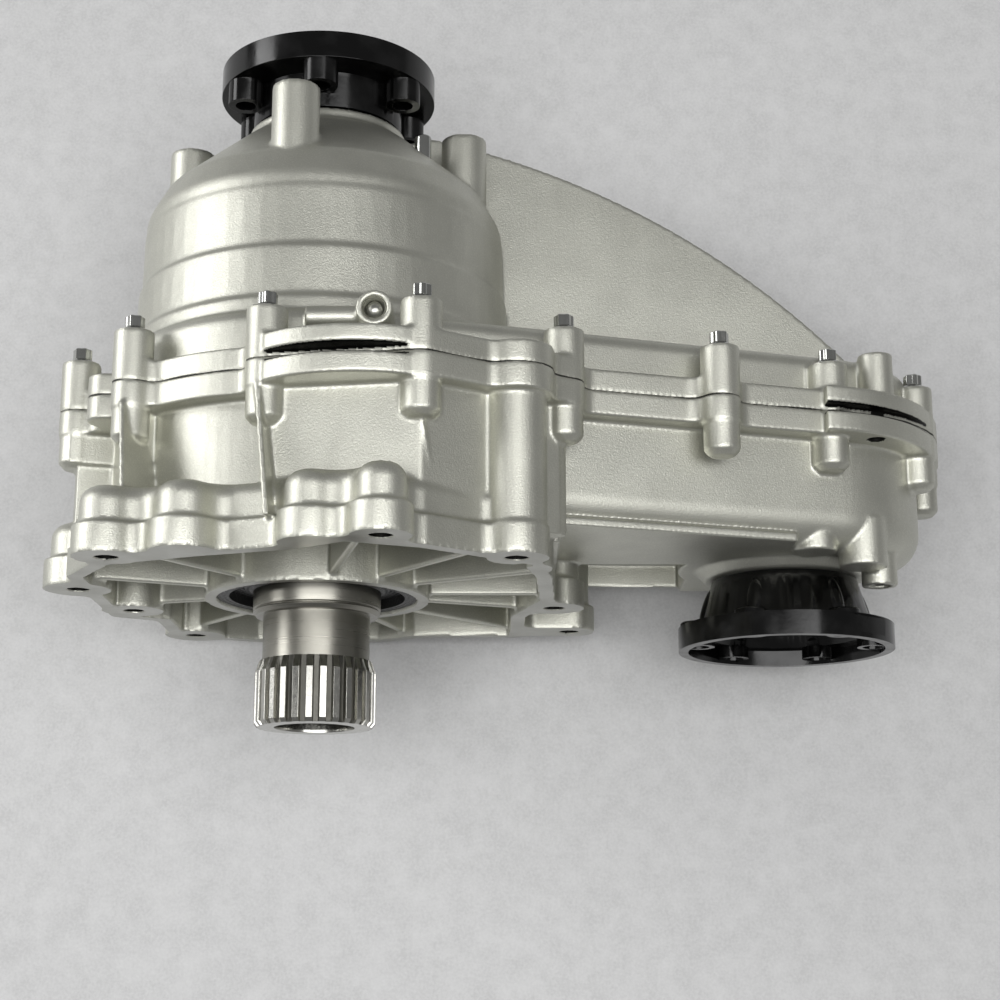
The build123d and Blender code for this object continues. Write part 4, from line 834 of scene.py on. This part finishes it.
def cup_pads(piece):
    """Cast pads and ribs behind the bolt holes of the cup flange."""
    centre = cup_place()[0]
    bpy.ops.object.select_all(action="DESELECT")
    bpy.ops.mesh.primitive_circle_add(vertices=32, radius=PAD_RADIUS, fill_type="NGON",
                                      location=PAD_PLACE, rotation=(math.radians(-90), 0, 0))
    pad = settled()
    edit(pad)
    bpy.ops.mesh.select_all(action="SELECT")
    for rise, share in PAD_STEPS:
        extrude(rise, share, (PAD_PLACE[0], 0, 0))
    close_up()
    bpy.ops.object.select_all(action="DESELECT")
    bpy.ops.mesh.primitive_uv_sphere_add(segments=24, ring_count=16, radius=1,
                                         location=RIB_PLACE, scale=RIB_HALVES,
                                         rotation=(0, 0, math.radians(RIB_TILT)))
    rib = settled()
    select_only(pad, rib)
    bpy.ops.object.join()
    copies = [piece]
    for number in range(CUP_HOLES):
        copy = bpy.data.objects.new(f"cup_pad_{number}", pad.data.copy())
        bpy.context.scene.collection.objects.link(copy)
        copy.data.transform(Matrix.Translation(centre)
                            @ Matrix.Rotation(number * math.tau / CUP_HOLES, 4, "Y"))
        copies.append(copy)
    bpy.data.objects.remove(pad)
    select_only(*copies)
    bpy.ops.object.join()


def broken_flange(node, name, width):
    """Copy of a drive flange with its edges broken, the cup's after its rim is cut."""
    piece = copy_node(node, name)
    if node == "front_flange":
        cup_cuts(piece)
    merge_flats(piece)
    break_edges(piece, width, FLANGE_BREAK)
    smooth(piece, TURNED_SHARP)
    return piece


class TRANSFER_OT_flanges(bpy.types.Operator):
    """Make the black drive flanges with broken edges, and the cast details of the cup flange"""
    bl_idname = "transfer.flanges"
    bl_label = "Drive flanges"

    def execute(self, context):
        width = context.scene.transfer_hardware.edge * FLANGE_EDGE
        for node, name, body in (("rear_flange", "rear_drive_flange", "annulus_set"),
                                 ("front_flange", "front_cup_flange", "front_set")):
            piece = broken_flange(node, name, width)
            if node == "front_flange":
                cup_pads(piece)
            give(piece, "black")
            # the turned edges stay as sharp as they were, and only the pads' are softer
            smooth(piece, PAD_SHARP)
            hand_over(piece, node, body)
        return {"FINISHED"}


class TRANSFER_OT_filler_plug(bpy.types.Operator):
    """Make the ball that closes the oil gallery and the ring staked round it"""
    bl_idname = "transfer.filler_plug"
    bl_label = "Ball plug"

    def execute(self, context):
        ball_radius = context.scene.transfer_hardware.ball
        low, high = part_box("filler_plug")
        x, y = (low.x + high.x) / 2, (low.y + high.y) / 2
        radius = (high.x - low.x) / 2
        bpy.ops.object.select_all(action="DESELECT")
        bpy.ops.mesh.primitive_circle_add(vertices=64, radius=radius, fill_type="NOTHING",
                                          location=(x, y, low.z))
        ring = settled()
        edit(ring)
        bpy.ops.mesh.select_all(action="SELECT")
        bpy.ops.mesh.fill()
        # rises and the radius that each ends at, from the foot up and then down round the ball
        steps = ((high.z - low.z - RING_CHAMFER, radius), (RING_CHAMFER, radius - RING_CHAMFER),
                 (0.0, ball_radius + LIP_GAP), (-LIP_FALL, ball_radius + SEAT_GAP),
                 (-SEAT_FALL, ball_radius * SEAT_SHARE))
        width = radius
        for rise, wanted in steps:
            bpy.ops.mesh.extrude_region_move(TRANSFORM_OT_translate={"value": (0, 0, rise)})
            share = wanted / width
            bpy.ops.transform.resize(value=(share, share, 1), center_override=(x, y, 0))
            width = wanted
        close_up()
        bpy.ops.object.select_all(action="DESELECT")
        bpy.ops.mesh.primitive_uv_sphere_add(segments=48, ring_count=24, radius=ball_radius,
                                             location=(x, y, high.z - ball_radius - BALL_SUNK))
        ball = settled()
        select_only(ring, ball)
        bpy.ops.object.join()
        ring.name = "staked_ball_plug"
        give(ring, "milled")
        smooth(ring, PLUG_SHARP)
        hand_over(ring, "filler_plug", "case")
        return {"FINISHED"}


class TRANSFER_OT_plain_nodes(bpy.types.Operator):
    """Give the CAD pieces that keep their shape their real finishes"""
    bl_idname = "transfer.plain_nodes"
    bl_label = "Remaining pieces"

    def execute(self, context):
        finishes = {"cast_aluminium": "cast", "black_flange": "black", "zinc_steel": "zinc",
                    "shaft_steel": "steel", "bearing_steel": "bearing", "dark_steel": "spring",
                    "bronze": "bronze", "seal_rubber": "rubber"}
        for part in frame["record"]["subparts"]:
            give(frame["nodes"][part["node"]], finishes[part["material_slot"]])
        return {"FINISHED"}


def soft_lamp(name, place, size, power):
    """Large rectangular lamp that points at the middle of the stage."""
    bpy.ops.object.light_add(type="AREA", location=place)
    lamp = bpy.context.object
    lamp.name = name
    lamp.data.shape = "RECTANGLE"
    lamp.data.size, lamp.data.size_y = size
    lamp.data.energy = power
    lamp.rotation_euler = (Vector(MIDDLE) - Vector(place)).to_track_quat("-Z", "Y").to_euler()


class TRANSFER_OT_stage(bpy.types.Operator):
    """Set up the floor, the soft lamps, the sky and the camera"""
    bl_idname = "transfer.stage"
    bl_label = "Stage"

    def execute(self, context):
        settings = context.scene.transfer_stage
        lowest = CAD_BOX[0][2]
        bpy.ops.object.select_all(action="DESELECT")
        bpy.ops.mesh.primitive_plane_add(size=FLOOR_WIDTH, location=(*MIDDLE[:2], lowest))
        floor = settled()
        floor.name = "floor"
        give(floor, "floor")
        soft_lamp("key_lamp", KEY_PLACE, KEY_SIZE, settings.key)
        soft_lamp("fill_lamp", FILL_PLACE, FILL_SIZE, settings.fill)
        world = bpy.data.worlds.new("sky")
        context.scene.world = world
        world.use_nodes = True
        background = world.node_tree.nodes["Background"]
        background.inputs["Color"].default_value = (1, 1, 1, 1)
        background.inputs["Strength"].default_value = settings.sky
        bpy.ops.object.camera_add(location=CAMERA_PLACE,
                                  rotation=(math.radians(CAMERA_TILT), 0, 0))
        camera = bpy.context.object
        camera.data.lens = CAMERA_LENS
        camera.data.sensor_width = SENSOR
        camera.data.clip_start = 10 * MM
        context.scene.camera = camera
        context.scene.view_settings.view_transform = "Standard"
        return {"FINISHED"}


class TRANSFER_PT_panel(bpy.types.Panel):
    """List the pieces of the transfer case in the sidebar"""
    bl_label = "Transfer case"
    bl_idname = "TRANSFER_PT_panel"
    bl_space_type = "VIEW_3D"
    bl_region_type = "UI"
    bl_category = "Transfer case"

    def draw(self, context):
        for group in ("transfer_casting", "transfer_hardware", "transfer_stage"):
            settings = getattr(context.scene, group)
            for name in settings.__annotations__:
                self.layout.prop(settings, name)
        for operator in OPERATORS:
            self.layout.operator(operator.bl_idname)


GROUPS = {"transfer_casting": CastingSettings, "transfer_hardware": HardwareSettings,
          "transfer_stage": StageSettings}
OPERATORS = (TRANSFER_OT_plain_nodes, TRANSFER_OT_castings, TRANSFER_OT_case_bolts,
             TRANSFER_OT_filler_plug, TRANSFER_OT_input_shaft, TRANSFER_OT_flanges,
             TRANSFER_OT_stage)


def register():
    """Register the add-on's classes and its settings."""
    for name, group in GROUPS.items():
        bpy.utils.register_class(group)
        setattr(bpy.types.Scene, name, bpy.props.PointerProperty(type=group))
    for operator in OPERATORS:
        bpy.utils.register_class(operator)
    bpy.utils.register_class(TRANSFER_PT_panel)


def unregister():
    """Remove the add-on's classes and its settings."""
    bpy.utils.unregister_class(TRANSFER_PT_panel)
    for operator in reversed(OPERATORS):
        bpy.utils.unregister_class(operator)
    for name, group in GROUPS.items():
        delattr(bpy.types.Scene, name)
        bpy.utils.unregister_class(group)


def main():
    """Make all pieces in order."""
    register()
    bpy.ops.transfer.plain_nodes()
    bpy.ops.transfer.castings()
    bpy.ops.transfer.case_bolts()
    bpy.ops.transfer.filler_plug()
    bpy.ops.transfer.input_shaft()
    bpy.ops.transfer.flanges()
    bpy.ops.transfer.stage()


if __name__ == "__main__":
    main()
